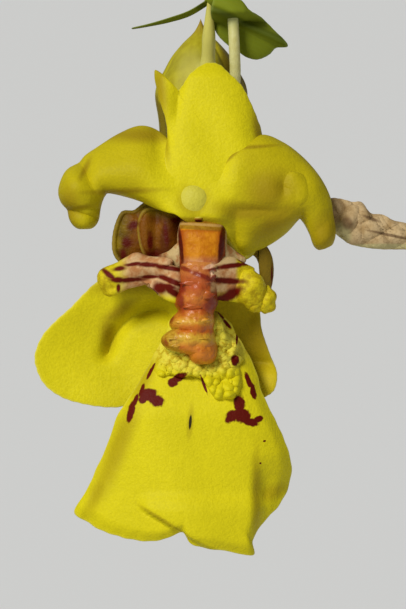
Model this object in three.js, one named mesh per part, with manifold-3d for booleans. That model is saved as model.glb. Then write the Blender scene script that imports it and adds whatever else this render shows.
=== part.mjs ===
// A potted braided orchid, Lockhartia oerstedii, in bloom. Millimetres, +Z up, origin at the
// centre of the pot's base. Flattened leafy stems stand on a rhizome in a clay pot of bark.
// One arching stem carries the main bloom, which faces -Y with its own small upward tilt.
import * as THREE from "three";
import { mergeVertices } from "three/addons/utils/BufferGeometryUtils.js";
import Module from "manifold-3d";

const wasm = await Module();
wasm.setup();

// Driving dimensions
const GAP = 0.35; // clearance between pieces that touch on the real plant
const POT_HEIGHT = 80;
const POT_BASE_RADIUS = 32;
const POT_TOP_RADIUS = 43; // of the wall's outside, without the rim band
const POT_WALL = 4.5;
const POT_FLOOR = 5;
const RIM_BAND_HEIGHT = 18;
const RIM_BAND_PROUD = 3;
const DRAIN_HOLE_RADIUS = 4;
const DRAIN_HOLE_RING = 17;
const BARK_TOP = 72;
const RHIZOME_RADIUS = 2.6;
const ROOT_RADIUS = 0.8;
const LEAF_LENGTH = 26;
const NODE_SPACING = 4.2; // along a stem from one leaf to the next, on alternate sides
const STEM_RADIUS = 1.3;
const TEPAL_THICKNESS = 0.6;
const BLOOM_CENTRE = [80, -22, 182];
const BLOOM_TILT = 8; // degrees that the main bloom looks up

const colours = {
  clay: new THREE.MeshStandardMaterial({ color: 0xb5653c, roughness: 0.85 }),
  bark: new THREE.MeshStandardMaterial({ color: 0x5a3b26, roughness: 0.9 }),
  rhizome: new THREE.MeshStandardMaterial({ color: 0x8a7a4c, roughness: 0.8 }),
  leaf: new THREE.MeshStandardMaterial({ color: 0x5c8a2c, roughness: 0.45 }),
  pedicel: new THREE.MeshStandardMaterial({ color: 0xc9cf86, roughness: 0.5 }),
  tepal: new THREE.MeshStandardMaterial({ color: 0xd6c713, roughness: 0.55 }),
  callus: new THREE.MeshStandardMaterial({ color: 0xc4561f, roughness: 0.3 }),
  column: new THREE.MeshStandardMaterial({ color: 0xd98a12, roughness: 0.4 }),
  dry: new THREE.MeshStandardMaterial({ color: 0xa98a58, roughness: 0.8 }),
};

// A closed geometry as a solid
function solidOf(geometry) {
  const bare = geometry.index ? geometry.toNonIndexed() : geometry.clone();
  const positions = new THREE.BufferGeometry();
  positions.setAttribute("position", bare.getAttribute("position"));
  const merged = mergeVertices(positions, 1e-4);
  const corners = merged.index.array;
  const kept = [];
  for (let i = 0; i < corners.length; i += 3) {
    const [a, b, c] = [corners[i], corners[i + 1], corners[i + 2]];
    if (a !== b && b !== c && c !== a) kept.push(a, b, c);
  }
  const made = new wasm.Manifold(
    new wasm.Mesh({
      numProp: 3,
      vertProperties: merged.attributes.position.array,
      triVerts: new Uint32Array(kept),
    }),
  );
  if (made.volume() < 0) throw new Error("a solid is inside out");
  return made;
}

function union(solids) {
  return wasm.Manifold.union(solids);
}

// The largest body of a solid, without the scraps that a cut leaves
function largest(solid) {
  return solid.decompose().sort((a, b) => b.volume() - a.volume())[0];
}

// A solid grown by the clearance each way, to cut its neighbours with
function grown(solid) {
  const shifts = [
    [1, 0, 0],
    [-1, 0, 0],
    [0, 1, 0],
    [0, -1, 0],
    [0, 0, 1],
    [0, 0, -1],
  ];
  return union([solid, ...shifts.map((s) => solid.translate(s.map((x) => x * GAP)))]);
}

function clearOf(solid, neighbours, tolerance = 0.03) {
  return largest(solid.subtract(union(neighbours.map(grown)))).simplify(tolerance);
}

function meshOf(solid, name, material) {
  const { numProp, vertProperties, triVerts, numVert } = solid.getMesh();
  const positions = new Float32Array(numVert * 3);
  for (let i = 0; i < numVert; i++)
    positions.set(vertProperties.subarray(i * numProp, i * numProp + 3), i * 3);
  const geometry = new THREE.BufferGeometry();
  geometry.setAttribute("position", new THREE.BufferAttribute(positions, 3));
  geometry.setIndex(new THREE.BufferAttribute(triVerts, 1));
  geometry.computeVertexNormals();
  const mesh = new THREE.Mesh(geometry, material);
  mesh.name = name;
  return mesh;
}

// A uniform Catmull-Rom curve through rows of numbers, at t from 0 to 1
function spline(rows, t, closed = false) {
  const spans = closed ? rows.length : rows.length - 1;
  const at = Math.min(Math.max(t, 0), 1) * spans;
  const i = Math.min(Math.floor(at), spans - 1);
  const f = at - i;
  const row = (k) =>
    closed
      ? rows[(k + rows.length) % rows.length]
      : rows[Math.min(Math.max(k, 0), rows.length - 1)];
  const [a, b, c, d] = [row(i - 1), row(i), row(i + 1), row(i + 2)];
  return b.map(
    (_, n) =>
      0.5 *
      (2 * b[n] +
        (c[n] - a[n]) * f +
        (2 * a[n] - 5 * b[n] + 4 * c[n] - d[n]) * f * f +
        (3 * b[n] - a[n] - 3 * c[n] + d[n]) * f * f * f),
  );
}

function smoothstep(from, to, x) {
  const s = Math.min(Math.max((x - from) / (to - from), 0), 1);
  return s * s * (3 - 2 * s);
}

// Closed solid between two grids of points of the same size
function gridSolid(front, back) {
  const [rows, columns] = [front.length, front[0].length];
  const positions = [];
  const quad = (a, b, c, d) => positions.push(...a, ...b, ...c, ...a, ...c, ...d);
  for (let i = 0; i + 1 < rows; i++)
    for (let j = 0; j + 1 < columns; j++) {
      quad(front[i][j], front[i][j + 1], front[i + 1][j + 1], front[i + 1][j]);
      quad(back[i + 1][j + 1], back[i][j + 1], back[i][j], back[i + 1][j]);
    }
  const wall = (p, q, r, s) => quad(p, q, r, s);
  for (let j = 0; j + 1 < columns; j++) {
    wall(front[0][j], back[0][j], back[0][j + 1], front[0][j + 1]);
    const last = rows - 1;
    wall(front[last][j + 1], back[last][j + 1], back[last][j], front[last][j]);
  }
  for (let i = 0; i + 1 < rows; i++) {
    wall(front[i + 1][0], back[i + 1][0], back[i][0], front[i][0]);
    const last = columns - 1;
    wall(front[i][last], back[i][last], back[i + 1][last], front[i + 1][last]);
  }
  return closedSolid(positions);
}

// Triangles as a solid, turned right side out
function closedSolid(positions) {
  const geometry = new THREE.BufferGeometry();
  geometry.setAttribute("position", new THREE.Float32BufferAttribute(positions, 3));
  let volume = 0;
  const [a, b, c] = [new THREE.Vector3(), new THREE.Vector3(), new THREE.Vector3()];
  for (let i = 0; i < positions.length; i += 9) {
    a.fromArray(positions, i);
    b.fromArray(positions, i + 3);
    c.fromArray(positions, i + 6);
    volume += a.dot(b.cross(c));
  }
  if (volume < 0)
    for (let i = 0; i < positions.length; i += 9)
      for (let k = 0; k < 3; k++) {
        const kept = positions[i + 3 + k];
        positions[i + 3 + k] = positions[i + 6 + k];
        positions[i + 6 + k] = kept;
      }
  geometry.setAttribute("position", new THREE.Float32BufferAttribute(positions, 3));
  return solidOf(geometry);
}

// A grid of surface points moved along its normals by a distance
function offsetGrid(grid, distance) {
  const at = (i, j) =>
    new THREE.Vector3(
      ...grid[Math.min(Math.max(i, 0), grid.length - 1)][
        Math.min(Math.max(j, 0), grid[0].length - 1)
      ],
    );
  return grid.map((row, i) =>
    row.map((point, j) => {
      const along = at(i + 1, j).sub(at(i - 1, j));
      const across = at(i, j + 1).sub(at(i, j - 1));
      const normal = along.cross(across).normalize().multiplyScalar(distance);
      return new THREE.Vector3(...point).add(normal).toArray();
    }),
  );
}

// A strap: stations of [x, z, x, z] give its two outlines, and each section is an arc that
// bulges towards -Y by bulge and rolls past the outlines where roll is over 90 degrees.
function strapGrid({ stations, depth, bulge, roll = 90 }, rows, columns) {
  const turn = THREE.MathUtils.degToRad(roll);
  return Array.from({ length: rows }, (_, i) => {
    const t = i / (rows - 1);
    const [ax, az, bx, bz] = spline(stations, t);
    const [y] = spline(depth, t);
    const [h] = spline(bulge, t);
    return Array.from({ length: columns }, (_, j) => {
      const angle = turn * (1 - (2 * j) / (columns - 1));
      const [s, c] = [Math.sin(angle), Math.cos(angle)];
      return [
        (ax + bx) / 2 + ((ax - bx) / 2) * s,
        y - h * c,
        (az + bz) / 2 + ((az - bz) / 2) * s,
      ];
    });
  });
}

function strapSolid(strap, rows, columns, thickness = TEPAL_THICKNESS) {
  const grid = strapGrid(strap, rows, columns);
  return gridSolid(offsetGrid(grid, thickness / 2), offsetGrid(grid, -thickness / 2));
}

// A blade: a closed outline in X and Z filled from its centre, with Y from a formula of
// x, z and the share r of the way out to the edge.
function bladeSolid({ outline, centre, depth }, rings, sectors = outline.length) {
  const thickness = TEPAL_THICKNESS;
  const edge = Array.from({ length: sectors }, (_, k) =>
    spline(outline, k / sectors, true),
  );
  const point = (ring, k, side) => {
    const r = ring / rings;
    const [ox, oz] = edge[k % sectors];
    const x = centre[0] + (ox - centre[0]) * r;
    const z = centre[1] + (oz - centre[1]) * r;
    return [x, depth(x, z, r) + (side * thickness) / 2, z];
  };
  const positions = [];
  const triangle = (a, b, c) => positions.push(...a, ...b, ...c);
  for (const side of [-1, 1]) {
    const face = (a, b, c) => (side < 0 ? triangle(a, b, c) : triangle(a, c, b));
    for (let k = 0; k < sectors; k++) {
      face(point(0, 0, side), point(1, k, side), point(1, k + 1, side));
      for (let ring = 1; ring < rings; ring++) {
        const [a, b] = [point(ring, k, side), point(ring + 1, k, side)];
        const [c, d] = [point(ring + 1, k + 1, side), point(ring, k + 1, side)];
        face(a, b, c);
        face(a, c, d);
      }
    }
  }
  for (let k = 0; k < sectors; k++) {
    const [a, b] = [point(rings, k, -1), point(rings, k + 1, -1)];
    const [c, d] = [point(rings, k + 1, 1), point(rings, k, 1)];
    triangle(a, d, c);
    triangle(a, c, b);
  }
  return closedSolid(positions);
}

// A round tube through points, with its own radius at each end
function tubeSolid(points, startRadius, endRadius = startRadius, sides = 6, steps = 6) {
  const rings = Array.from({ length: steps + 1 }, (_, i) => {
    const t = i / steps;
    const centre = new THREE.Vector3(...spline(points, t));
    const ahead = new THREE.Vector3(...spline(points, t + 0.01));
    const behind = new THREE.Vector3(...spline(points, t - 0.01));
    const along = ahead.sub(behind).normalize();
    const helper = Math.abs(along.x) > 0.9 ? [0, 0, 1] : [1, 0, 0];
    const side = new THREE.Vector3(...helper).cross(along).normalize();
    const other = along.clone().cross(side);
    const radius = startRadius + (endRadius - startRadius) * t;
    return Array.from({ length: sides }, (_, k) => {
      const angle = (2 * Math.PI * k) / sides;
      return centre
        .clone()
        .addScaledVector(side, radius * Math.cos(angle))
        .addScaledVector(other, radius * Math.sin(angle))
        .toArray();
    });
  });
  const positions = [];
  const last = rings[steps];
  for (let k = 0; k < sides; k++) {
    const n = (k + 1) % sides;
    for (let i = 0; i < steps; i++)
      positions.push(
        ...rings[i][k],
        ...rings[i][n],
        ...rings[i + 1][n],
        ...rings[i][k],
        ...rings[i + 1][n],
        ...rings[i + 1][k],
      );
    if (k > 0 && k + 1 < sides) {
      positions.push(...rings[0][0], ...rings[0][k + 1], ...rings[0][k]);
      positions.push(...last[0], ...last[k], ...last[k + 1]);
    }
  }
  return closedSolid(positions);
}

function ball([x, y, z], [rx, ry, rz], detail = 0) {
  const geometry = new THREE.IcosahedronGeometry(1, detail);
  geometry.scale(rx, ry, rz);
  geometry.translate(x, y, z);
  return solidOf(geometry);
}

// A clay pot: tapered wall, thicker rim band, and four drain holes in its floor
function potOuterRadius(z) {
  return POT_BASE_RADIUS + ((POT_TOP_RADIUS - POT_BASE_RADIUS) * z) / POT_HEIGHT;
}

function potInnerRadius(z) {
  return potOuterRadius(z) - POT_WALL;
}

function makePot() {
  const band = POT_HEIGHT - RIM_BAND_HEIGHT;
  const chamfer = 1.2;
  const profile = [
    [0, 0],
    [POT_BASE_RADIUS - chamfer, 0],
    [POT_BASE_RADIUS, chamfer],
    [potOuterRadius(band), band],
    [potOuterRadius(band) + RIM_BAND_PROUD, band + chamfer],
    [POT_TOP_RADIUS + RIM_BAND_PROUD, POT_HEIGHT - chamfer],
    [POT_TOP_RADIUS + RIM_BAND_PROUD - chamfer, POT_HEIGHT],
    [potInnerRadius(POT_HEIGHT) + chamfer, POT_HEIGHT],
    [potInnerRadius(POT_HEIGHT - chamfer), POT_HEIGHT - chamfer],
    [potInnerRadius(POT_FLOOR), POT_FLOOR],
    [0, POT_FLOOR],
  ].map(([r, z]) => new THREE.Vector2(r, z));
  const lathe = new THREE.LatheGeometry(profile, 32);
  lathe.rotateX(Math.PI / 2);
  const holes = [0, 1, 2, 3].map((k) => {
    const angle = (k * Math.PI) / 2;
    const bit = new THREE.CylinderGeometry(DRAIN_HOLE_RADIUS, DRAIN_HOLE_RADIUS, 20, 10);
    bit.rotateX(Math.PI / 2);
    bit.translate(DRAIN_HOLE_RING * Math.cos(angle), DRAIN_HOLE_RING * Math.sin(angle), 0);
    return solidOf(bit);
  });
  return solidOf(lathe).subtract(union(holes));
}

// A seeded random number from 0 to 1
function randomFrom(seed) {
  let state = seed;
  return () => {
    state = (state * 1103515245 + 12345) % 2147483648;
    return state / 2147483648;
  };
}

// The rhizome's branches lie on the bark, each a row of points in X and Y
const RHIZOME_BRANCHES = [
  [
    [-21, 2],
    [-12, -4],
    [-3, 1],
    [9, -3],
    [17, 4],
  ],
  [
    [-3, 1],
    [-7, 12],
  ],
  [
    [-3, 1],
    [3, 9],
  ],
  [
    [4, -1],
    [3, -11],
  ],
];
const RHIZOME_Z = BARK_TOP + GAP + RHIZOME_RADIUS;
const STEM_FOOT = RHIZOME_Z + RHIZOME_RADIUS + GAP;
const ROOTS = [
  [-17, -1, 215],
  [-8, 5, 150],
  [-5, -2, 265],
  [3, 5, 60],
  [6, -5, 300],
  [13, 0, 10],
];
const ROOT_DEPTH = 34;

function rootPath([x, y, heading]) {
  const angle = THREE.MathUtils.degToRad(heading);
  const [dx, dy] = [Math.cos(angle), Math.sin(angle)];
  return [
    [x, y, RHIZOME_Z],
    [x + 0.5 * dx, y + 0.5 * dy, BARK_TOP - 8],
    [x + 3 * dx, y + 3 * dy, BARK_TOP - 20],
    [x + 8 * dx, y + 8 * dy, BARK_TOP - ROOT_DEPTH],
  ];
}

function makeRhizome() {
  const branches = RHIZOME_BRANCHES.map((branch) =>
    tubeSolid(
      branch.map(([x, y]) => [x, y, RHIZOME_Z]),
      RHIZOME_RADIUS,
      RHIZOME_RADIUS,
      8,
      branch.length > 2 ? 10 : 3,
    ),
  );
  const roots = ROOTS.map((root) => tubeSolid(rootPath(root), ROOT_RADIUS, 0.5, 5, 4));
  return union([...branches, ...roots]);
}

// Potting bark: a frustum that fills the pot, with chips that stand out of its top
const CHIP_COUNT = 28;

function distanceToRhizome(x, y) {
  let nearest = Infinity;
  for (const branch of RHIZOME_BRANCHES)
    for (let i = 0; i <= 20; i++) {
      const [bx, by] = spline(branch, i / 20);
      nearest = Math.min(nearest, Math.hypot(x - bx, y - by));
    }
  return nearest;
}

function makeBark() {
  const floor = POT_FLOOR + GAP;
  const profile = [
    [0, floor],
    [potInnerRadius(floor) - GAP, floor],
    [potInnerRadius(BARK_TOP) - GAP, BARK_TOP],
    [0, BARK_TOP],
  ].map(([r, z]) => new THREE.Vector2(r, z));
  const lathe = new THREE.LatheGeometry(profile, 32);
  lathe.rotateX(Math.PI / 2);
  const random = randomFrom(7);
  const chips = [];
  while (chips.length < CHIP_COUNT) {
    const reach = 31 * Math.sqrt(random());
    const heading = 2 * Math.PI * random();
    const [x, y] = [reach * Math.cos(heading), reach * Math.sin(heading)];
    const size = [7 + 5 * random(), 5 + 3 * random(), 4 + 2 * random()];
    const turns = [0.5 * (random() - 0.5), 0.5 * (random() - 0.5), 3 * random()];
    if (distanceToRhizome(x, y) < RHIZOME_RADIUS + GAP + size[0] / 2 + 1) continue;
    const chip = new THREE.BoxGeometry(...size);
    chip.rotateX(turns[0]);
    chip.rotateY(turns[1]);
    chip.rotateZ(turns[2]);
    chip.translate(x, y, BARK_TOP + 0.3 * size[2]);
    chips.push(solidOf(chip));
  }
  const holes = ROOTS.map((root) =>
    tubeSolid(rootPath(root), ROOT_RADIUS + GAP + 0.1, 0.5 + GAP + 0.1, 6, 4),
  );
  const tips = ROOTS.map((root) => ball(rootPath(root)[3], [1.4, 1.4, 1.4]));
  const filled = solidOf(lathe).add(union(chips));
  return largest(filled.subtract(union([...holes, ...tips])));
}

// Leafy stems. Each is a cubic Bezier curve from its foot on the rhizome, and facing is the
// direction that the flat side of its braid of leaves looks in.
const STEMS = [
  {
    name: "leafy_stem_1",
    path: [
      [9, -3, STEM_FOOT],
      [12, -4, 150],
      [26, -12, 232],
      [66, -20, 224],
    ],
    facing: [0, -1, 0],
  },
  {
    name: "leafy_stem_2",
    path: [
      [-3, 1, STEM_FOOT],
      [-6, 2, 125],
      [-14, 4, 190],
      [-34, 6, 222],
    ],
    facing: [0.3, -0.95, 0],
  },
  {
    name: "leafy_stem_3",
    path: [
      [3, 9, STEM_FOOT],
      [4, 14, 120],
      [10, 30, 170],
      [20, 50, 196],
    ],
    facing: [0.9, -0.3, 0],
  },
  {
    name: "leafy_stem_4",
    path: [
      [-12, -4, STEM_FOOT],
      [-20, -10, 112],
      [-44, -24, 152],
      [-68, -38, 150],
    ],
    facing: [0.5, -0.85, 0],
  },
  {
    name: "leafy_stem_5",
    path: [
      [-7, 12, STEM_FOOT],
      [-16, 22, 115],
      [-34, 44, 158],
      [-50, 62, 160],
    ],
    facing: [0.75, 0.65, 0],
  },
  {
    name: "leafy_stem_6",
    path: [
      [3, -11, STEM_FOOT],
      [6, -22, 108],
      [10, -44, 140],
      [16, -66, 140],
    ],
    facing: [-0.9, -0.2, 0.2],
  },
  {
    name: "leafy_stem_7",
    path: [
      [17, 4, STEM_FOOT],
      [22, 10, 108],
      [34, 24, 142],
      [42, 42, 158],
    ],
    facing: [-0.7, 0.7, 0],
  },
  {
    name: "leafy_stem_8",
    path: [
      [-21, 2, STEM_FOOT],
      [-25, 2, 92],
      [-31, 0, 104],
      [-37, -2, 112],
    ],
    facing: [0, -1, 0],
  },
];

// A place on a stem: along millimetres from its foot, across the flat braid, and out of it
function stemPlacer({ path, facing }) {
  const curve = new THREE.CubicBezierCurve3(...path.map((p) => new THREE.Vector3(...p)));
  const length = curve.getLength();
  const place = (along, across, out) => {
    const share = Math.min(along / length, 1);
    const ahead = curve.getTangentAt(share);
    const normal = new THREE.Vector3(...facing);
    normal.addScaledVector(ahead, -normal.dot(ahead)).normalize();
    const side = new THREE.Vector3().crossVectors(normal, ahead);
    return curve
      .getPointAt(share)
      .addScaledVector(ahead, Math.max(along - length, 0))
      .addScaledVector(side, across)
      .addScaledVector(normal, out)
      .toArray();
  };
  return { place, length };
}

// A leaf's tip and the notch where it leaves the next one of its side: shares of its length
// along and across the stem. Half thicknesses are in millimetres.
const LEAF_TIP = [0.85, 0.53];
const LEAF_NOTCH = [0.65, 0.28];
const APEX_REACH = 0.75; // of the last leaf's length
const TIP_HALF = 0.3;
const NOTCH_HALF = 0.55;
const LEAF_SWELL = 0.45;

function leafLength(share) {
  const grow = 0.35 + 0.65 * smoothstep(0, 0.3, share);
  return LEAF_LENGTH * grow * (1 - 0.4 * smoothstep(0.75, 1, share));
}

function leafSpread(share) {
  return 1 - 0.6 * smoothstep(0.8, 1, share);
}

// The braid: two rows of leaves folded round the stem, each row a chain of tips and notches
function stemSolid(stem) {
  const { place, length } = stemPlacer(stem);
  const pairs = Math.floor(length / (2 * NODE_SPACING));
  const step = length / pairs;
  const half = (k) => STEM_RADIUS * (1 - 0.5 * (k / pairs));
  const ridge = Array.from({ length: pairs }, (_, k) => [k * step, 0, half(k)]);
  const apex = [length + APEX_REACH * leafLength(1), 0, TIP_HALF];
  ridge.push(apex);
  const positions = [];
  const face = (a, b, c, side) => {
    const at = ([along, across, out]) => place(along, side * across, out);
    positions.push(...at(a), ...at(b), ...at(c));
  };
  const flipped = ([along, across, out]) => [along, across, -out];
  const both = (a, b, c, side) => {
    const [p, q] = side > 0 ? [b, c] : [c, b];
    face(a, p, q, side);
    face(flipped(a), flipped(q), flipped(p), side);
  };
  const wall = (a, b, side) => {
    const [p, q] = side > 0 ? [a, b] : [b, a];
    face(p, flipped(p), flipped(q), side);
    face(p, flipped(q), q, side);
  };
  for (const side of [1, -1]) {
    let before = [0, STEM_RADIUS, 0.3];
    for (let k = 0; k < pairs; k++) {
      const from = k * step + (side > 0 ? 0 : step / 2);
      const long = leafLength(from / length);
      const wide = long * leafSpread(from / length);
      const tip = [from + LEAF_TIP[0] * long, LEAF_TIP[1] * wide, TIP_HALF];
      const after =
        k + 1 < pairs
          ? [from + LEAF_NOTCH[0] * long, LEAF_NOTCH[1] * wide, NOTCH_HALF]
          : apex;
      const corners = [ridge[k], before, after, ridge[k + 1]];
      const middle = [0, 1, 2].map(
        (n) => corners.reduce((sum, corner) => sum + corner[n], 0) / corners.length,
      );
      middle[2] += LEAF_SWELL;
      both(ridge[k], before, middle, side);
      both(before, after, middle, side);
      if (after !== apex) both(after, ridge[k + 1], middle, side);
      both(ridge[k + 1], ridge[k], middle, side);
      both(before, tip, after, side);
      wall(before, tip, side);
      wall(tip, after, side);
      before = after;
    }
    wall([0, 0, half(0)], [0, STEM_RADIUS, 0.3], side);
  }
  return closedSolid(positions);
}

// The bloom, in its own frame: X to the viewer's right, -Y towards the viewer, +Z up, with
// its origin at the top of the column. Outlines are [x, z].
const DORSAL_SEPAL = {
  outline: [
    [-0.9, 2.3],
    [-1.5, 3.0],
    [-1.85, 4.0],
    [-1.95, 5.3],
    [-2.1, 6.75],
    [-2.25, 8.45],
    [-1.65, 8.1],
    [-1.05, 7.55],
    [-0.5, 8.35],
    [0.25, 8.85],
    [1.2, 8.6],
    [2.05, 7.9],
    [2.65, 6.8],
    [3.0, 5.75],
    [3.1, 5.0],
    [2.9, 4.1],
    [2.0, 3.0],
    [0.5, 2.1],
  ],
  centre: [0.4, 5.4],
  depth: (x, z) =>
    -0.95 +
    0.19 * (z - 4) +
    0.9 * (Math.abs(x - 0.45) / 2.5) ** 4 +
    0.5 * smoothstep(8, 9, z) -
    0.75 * smoothstep(-1, -2.1, x) * smoothstep(4.5, 6.5, z),
};
const SEPAL_LEFT = {
  outline: [
    [-0.4, -3.4],
    [-0.4, -1.7],
    [-1.4, -1.9],
    [-2.5, -2.0],
    [-3.75, -1.8],
    [-5.05, -2.05],
    [-5.8, -2.65],
    [-6.5, -3.4],
    [-7.25, -4.05],
    [-7.9, -4.8],
    [-8.3, -5.8],
    [-8.15, -6.6],
    [-7.7, -7.35],
    [-7.0, -7.85],
    [-6.1, -8.15],
    [-5.1, -8.35],
    [-4.0, -8.3],
    [-2.9, -7.8],
    [-2.0, -6.6],
    [-1.2, -5.0],
  ],
  centre: [-4.6, -5.2],
  depth: (x, z, r) => 1.0 - 0.4 * r * r,
};
const SEPAL_RIGHT = {
  outline: [
    [0.3, -3.4],
    [0.3, -1.7],
    [1.4, -1.8],
    [2.8, -2.9],
    [3.1, -4.5],
    [3.5, -5.7],
    [3.85, -6.6],
    [3.75, -7.45],
    [3.2, -7.9],
    [2.5, -8.2],
    [1.6, -7.9],
    [1.0, -6.5],
    [0.6, -4.75],
  ],
  centre: [2.1, -5.4],
  depth: (x, z, r) => 1.2 - 0.5 * smoothstep(-5.5, -7.5, z) - 0.3 * r * r,
};
const PETAL_LEFT = {
  stations: [
    [0.6, 3.0, 0.6, 1.0],
    [-0.3, 3.7, -0.4, 0.95],
    [-1.2, 4.6, -1.3, 1.3],
    [-2.1, 5.5, -2.3, 1.95],
    [-3.0, 5.75, -3.0, 2.15],
    [-4.1, 5.4, -4.0, 2.35],
    [-5.25, 4.65, -4.7, 2.4],
    [-6.1, 3.85, -5.1, 2.05],
    [-6.8, 3.15, -5.25, 1.5],
    [-7.0, 2.3, -5.25, 1.05],
    [-6.55, 1.35, -5.4, 0.75],
    [-6.05, 0.65, -5.65, 0.6],
  ],
  depth: [[-0.7], [-0.3], [0], [0.1], [0.3], [0.6]],
  bulge: [[0.5], [1.0], [1.35], [1.2], [0.9], [0.3]],
  roll: 110,
};
const PETAL_RIGHT = {
  stations: [
    [-0.3, 2.9, -0.3, 1.0],
    [0.5, 3.1, 0.45, 0.95],
    [1.0, 3.6, 1.0, 0.6],
    [1.75, 4.35, 1.6, -0.35],
    [3.0, 5.2, 2.1, -0.9],
    [4.15, 4.9, 3.1, -0.35],
    [5.15, 4.15, 4.1, 0.35],
    [5.95, 3.2, 4.85, 1.2],
    [6.5, 2.15, 5.2, 0.95],
    [6.65, 1.25, 5.55, 0.3],
    [6.8, 0.4, 5.75, -0.2],
    [6.7, -0.25, 6.05, -0.45],
  ],
  depth: [[-0.8], [-0.6], [-0.4], [-0.1], [0.2], [0.4]],
  bulge: [[0.45], [0.8], [1.0], [1.0], [0.8], [0.3]],
  roll: 100,
};
const LIP_MIDLOBE = {
  outline: [
    [-1.4, -3.9],
    [-1.75, -4.75],
    [-2.25, -5.6],
    [-2.65, -6.4],
    [-3.35, -7.6],
    [-4.1, -8.75],
    [-4.65, -10.25],
    [-5.2, -11.45],
    [-5.6, -12.4],
    [-6.25, -13.55],
    [-5.0, -14.45],
    [-3.4, -14.9],
    [-2.0, -14.95],
    [-0.85, -14.55],
    [-0.5, -15.05],
    [0.8, -15.4],
    [2.6, -15.6],
    [2.6, -14.9],
    [3.85, -13.35],
    [4.35, -12.5],
    [4.55, -11.4],
    [4.35, -10.4],
    [3.6, -8.7],
    [3.1, -7.6],
    [2.8, -6.5],
    [2.3, -5.5],
    [1.8, -4.7],
    [1.3, -3.9],
    [-0.05, -3.4],
  ],
  centre: [-0.5, -10.5],
  depth: (x, z) =>
    -0.7 -
    1.3 * smoothstep(-5, -9, z) +
    0.035 * x * x +
    0.5 * smoothstep(2.3, 3, x) * smoothstep(-9, -12, z),
};
const LIP_ARM_LEFT = {
  outline: [
    [-0.9, -1.6],
    [-1.35, -1.55],
    [-1.45, -0.95],
    [-2.5, -0.85],
    [-3.15, -0.65],
    [-3.6, -0.85],
    [-4.2, -1.2],
    [-5.0, -1.6],
    [-4.95, -2.5],
    [-4.85, -3.5],
    [-4.35, -2.95],
    [-3.75, -2.55],
    [-3.0, -2.3],
    [-2.2, -2.5],
    [-1.8, -2.85],
    [-1.4, -3.05],
    [-0.95, -3.1],
  ],
  centre: [-3.6, -1.8],
  depth: (x) => -0.7 + 0.16 * (x + 1),
};
const LIP_ARM_RIGHT = {
  stations: [
    [1.55, -1.0, 1.2, -2.9],
    [2.15, -1.3, 2.0, -3.0],
    [2.6, -1.5, 2.5, -3.2],
  ],
  depth: [[-0.5], [-0.7]],
  bulge: [[0.4], [0.4]],
  roll: 80,
};
const LIP_LUMPS = [
  { at: [2.65, -1.2, -2.55], size: [0.9, 0.8, 1.2] },
  { at: [3.5, -0.9, -3.1], size: [0.45, 0.5, 0.65] },
];
const WARTS = [
  [-2.05, -5.6],
  [-2.1, -6.2],
  [-1.4, -6.2],
  [-0.9, -6.55],
  [-0.4, -6.8],
  [0.15, -6.95],
  [0.65, -6.75],
  [1.05, -6.3],
  [1.4, -5.7],
  [1.8, -5.3],
  [1.35, -4.9],
  [1.3, -4.3],
  [1.6, -6.1],
  [1.2, -6.9],
  [0.8, -7.4],
  [1.4, -7.6],
  [1.9, -7.3],
  [1.1, -8.1],
];
const WART_SIZE = [0.3, 0.5, 0.3];
const CALLUS = {
  stations: [
    [-1.05, -1.45, 0.85, -1.45],
    [-1.15, -1.75, 0.85, -1.75],
    [-1.15, -2.4, 0.75, -2.4],
    [-1.0, -3.0, 0.7, -3.0],
    [-0.9, -3.6, 0.45, -3.6],
    [-1.25, -4.1, 0.55, -4.1],
    [-1.4, -4.75, 0.55, -4.75],
    [-1.6, -5.3, 0.65, -5.3],
    [-1.0, -5.8, 0.6, -5.8],
    [-0.4, -6.2, 0.35, -6.2],
  ],
  back: -1.65,
  height: [[0.5], [0.75], [0.7], [0.55], [0.75], [0.6], [0.8], [0.6], [0.3]],
};
const WING_LEFT = {
  outline: [
    [-0.7, 1.6],
    [-1.75, 1.95],
    [-2.65, 1.95],
    [-3.3, 1.5],
    [-3.95, 1.4],
    [-4.3, 0.6],
    [-4.4, -0.4],
    [-4.05, -1.1],
    [-3.25, -1.2],
    [-2.0, -1.2],
    [-0.7, -1.0],
  ],
  centre: [-2.5, 0.3],
  depth: (x, z, r) => 0.5 + 0.35 * r * r,
};
const WING_RIGHT = {
  outline: [
    [0.8, 0.75],
    [2.0, 0.0],
    [2.9, -0.15],
    [3.5, -0.8],
    [3.7, -1.8],
    [3.5, -2.8],
    [3.1, -3.0],
    [2.9, -2.25],
    [2.5, -1.4],
    [1.75, -1.1],
    [0.8, -0.8],
  ],
  centre: [2.7, -0.8],
  depth: (x, z, r) => 0.5 + 0.35 * r * r,
};

// The crest on the lip: a front that bulges in ridges, and a flat back
function callusSolid(rows, columns) {
  const grid = (front) =>
    Array.from({ length: rows }, (_, i) => {
      const t = i / (rows - 1);
      const [ax, z, bx] = spline(CALLUS.stations, t);
      const [h] = spline(CALLUS.height, t);
      return Array.from({ length: columns }, (_, j) => {
        const angle = Math.PI * (0.5 - j / (columns - 1));
        const x = (ax + bx) / 2 + ((ax - bx) / 2) * Math.sin(angle);
        return [x, front ? CALLUS.back - 0.35 - h * Math.cos(angle) : CALLUS.back, z];
      });
    });
  return gridSolid(grid(true), grid(false));
}

// The column: its orange face, its neck under the cap, and two spotted wings
function columnSolid(detail) {
  const face = new THREE.BoxGeometry(2.1, 2.6, 1.75);
  face.translate(0.1, -0.4, -0.3);
  const neck = new THREE.BoxGeometry(1.3, 2.4, 2.2);
  neck.translate(-0.05, 0.3, 1.2);
  const cap = ball([-0.2, -1.0, 1.88], [0.8, 0.8, 0.75], detail);
  const wings = [WING_LEFT, WING_RIGHT].map((wing) =>
    bladeSolid(wing, 1, detail ? wing.outline.length : 7),
  );
  return union([solidOf(face), solidOf(neck), cap, ...wings]);
}

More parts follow.
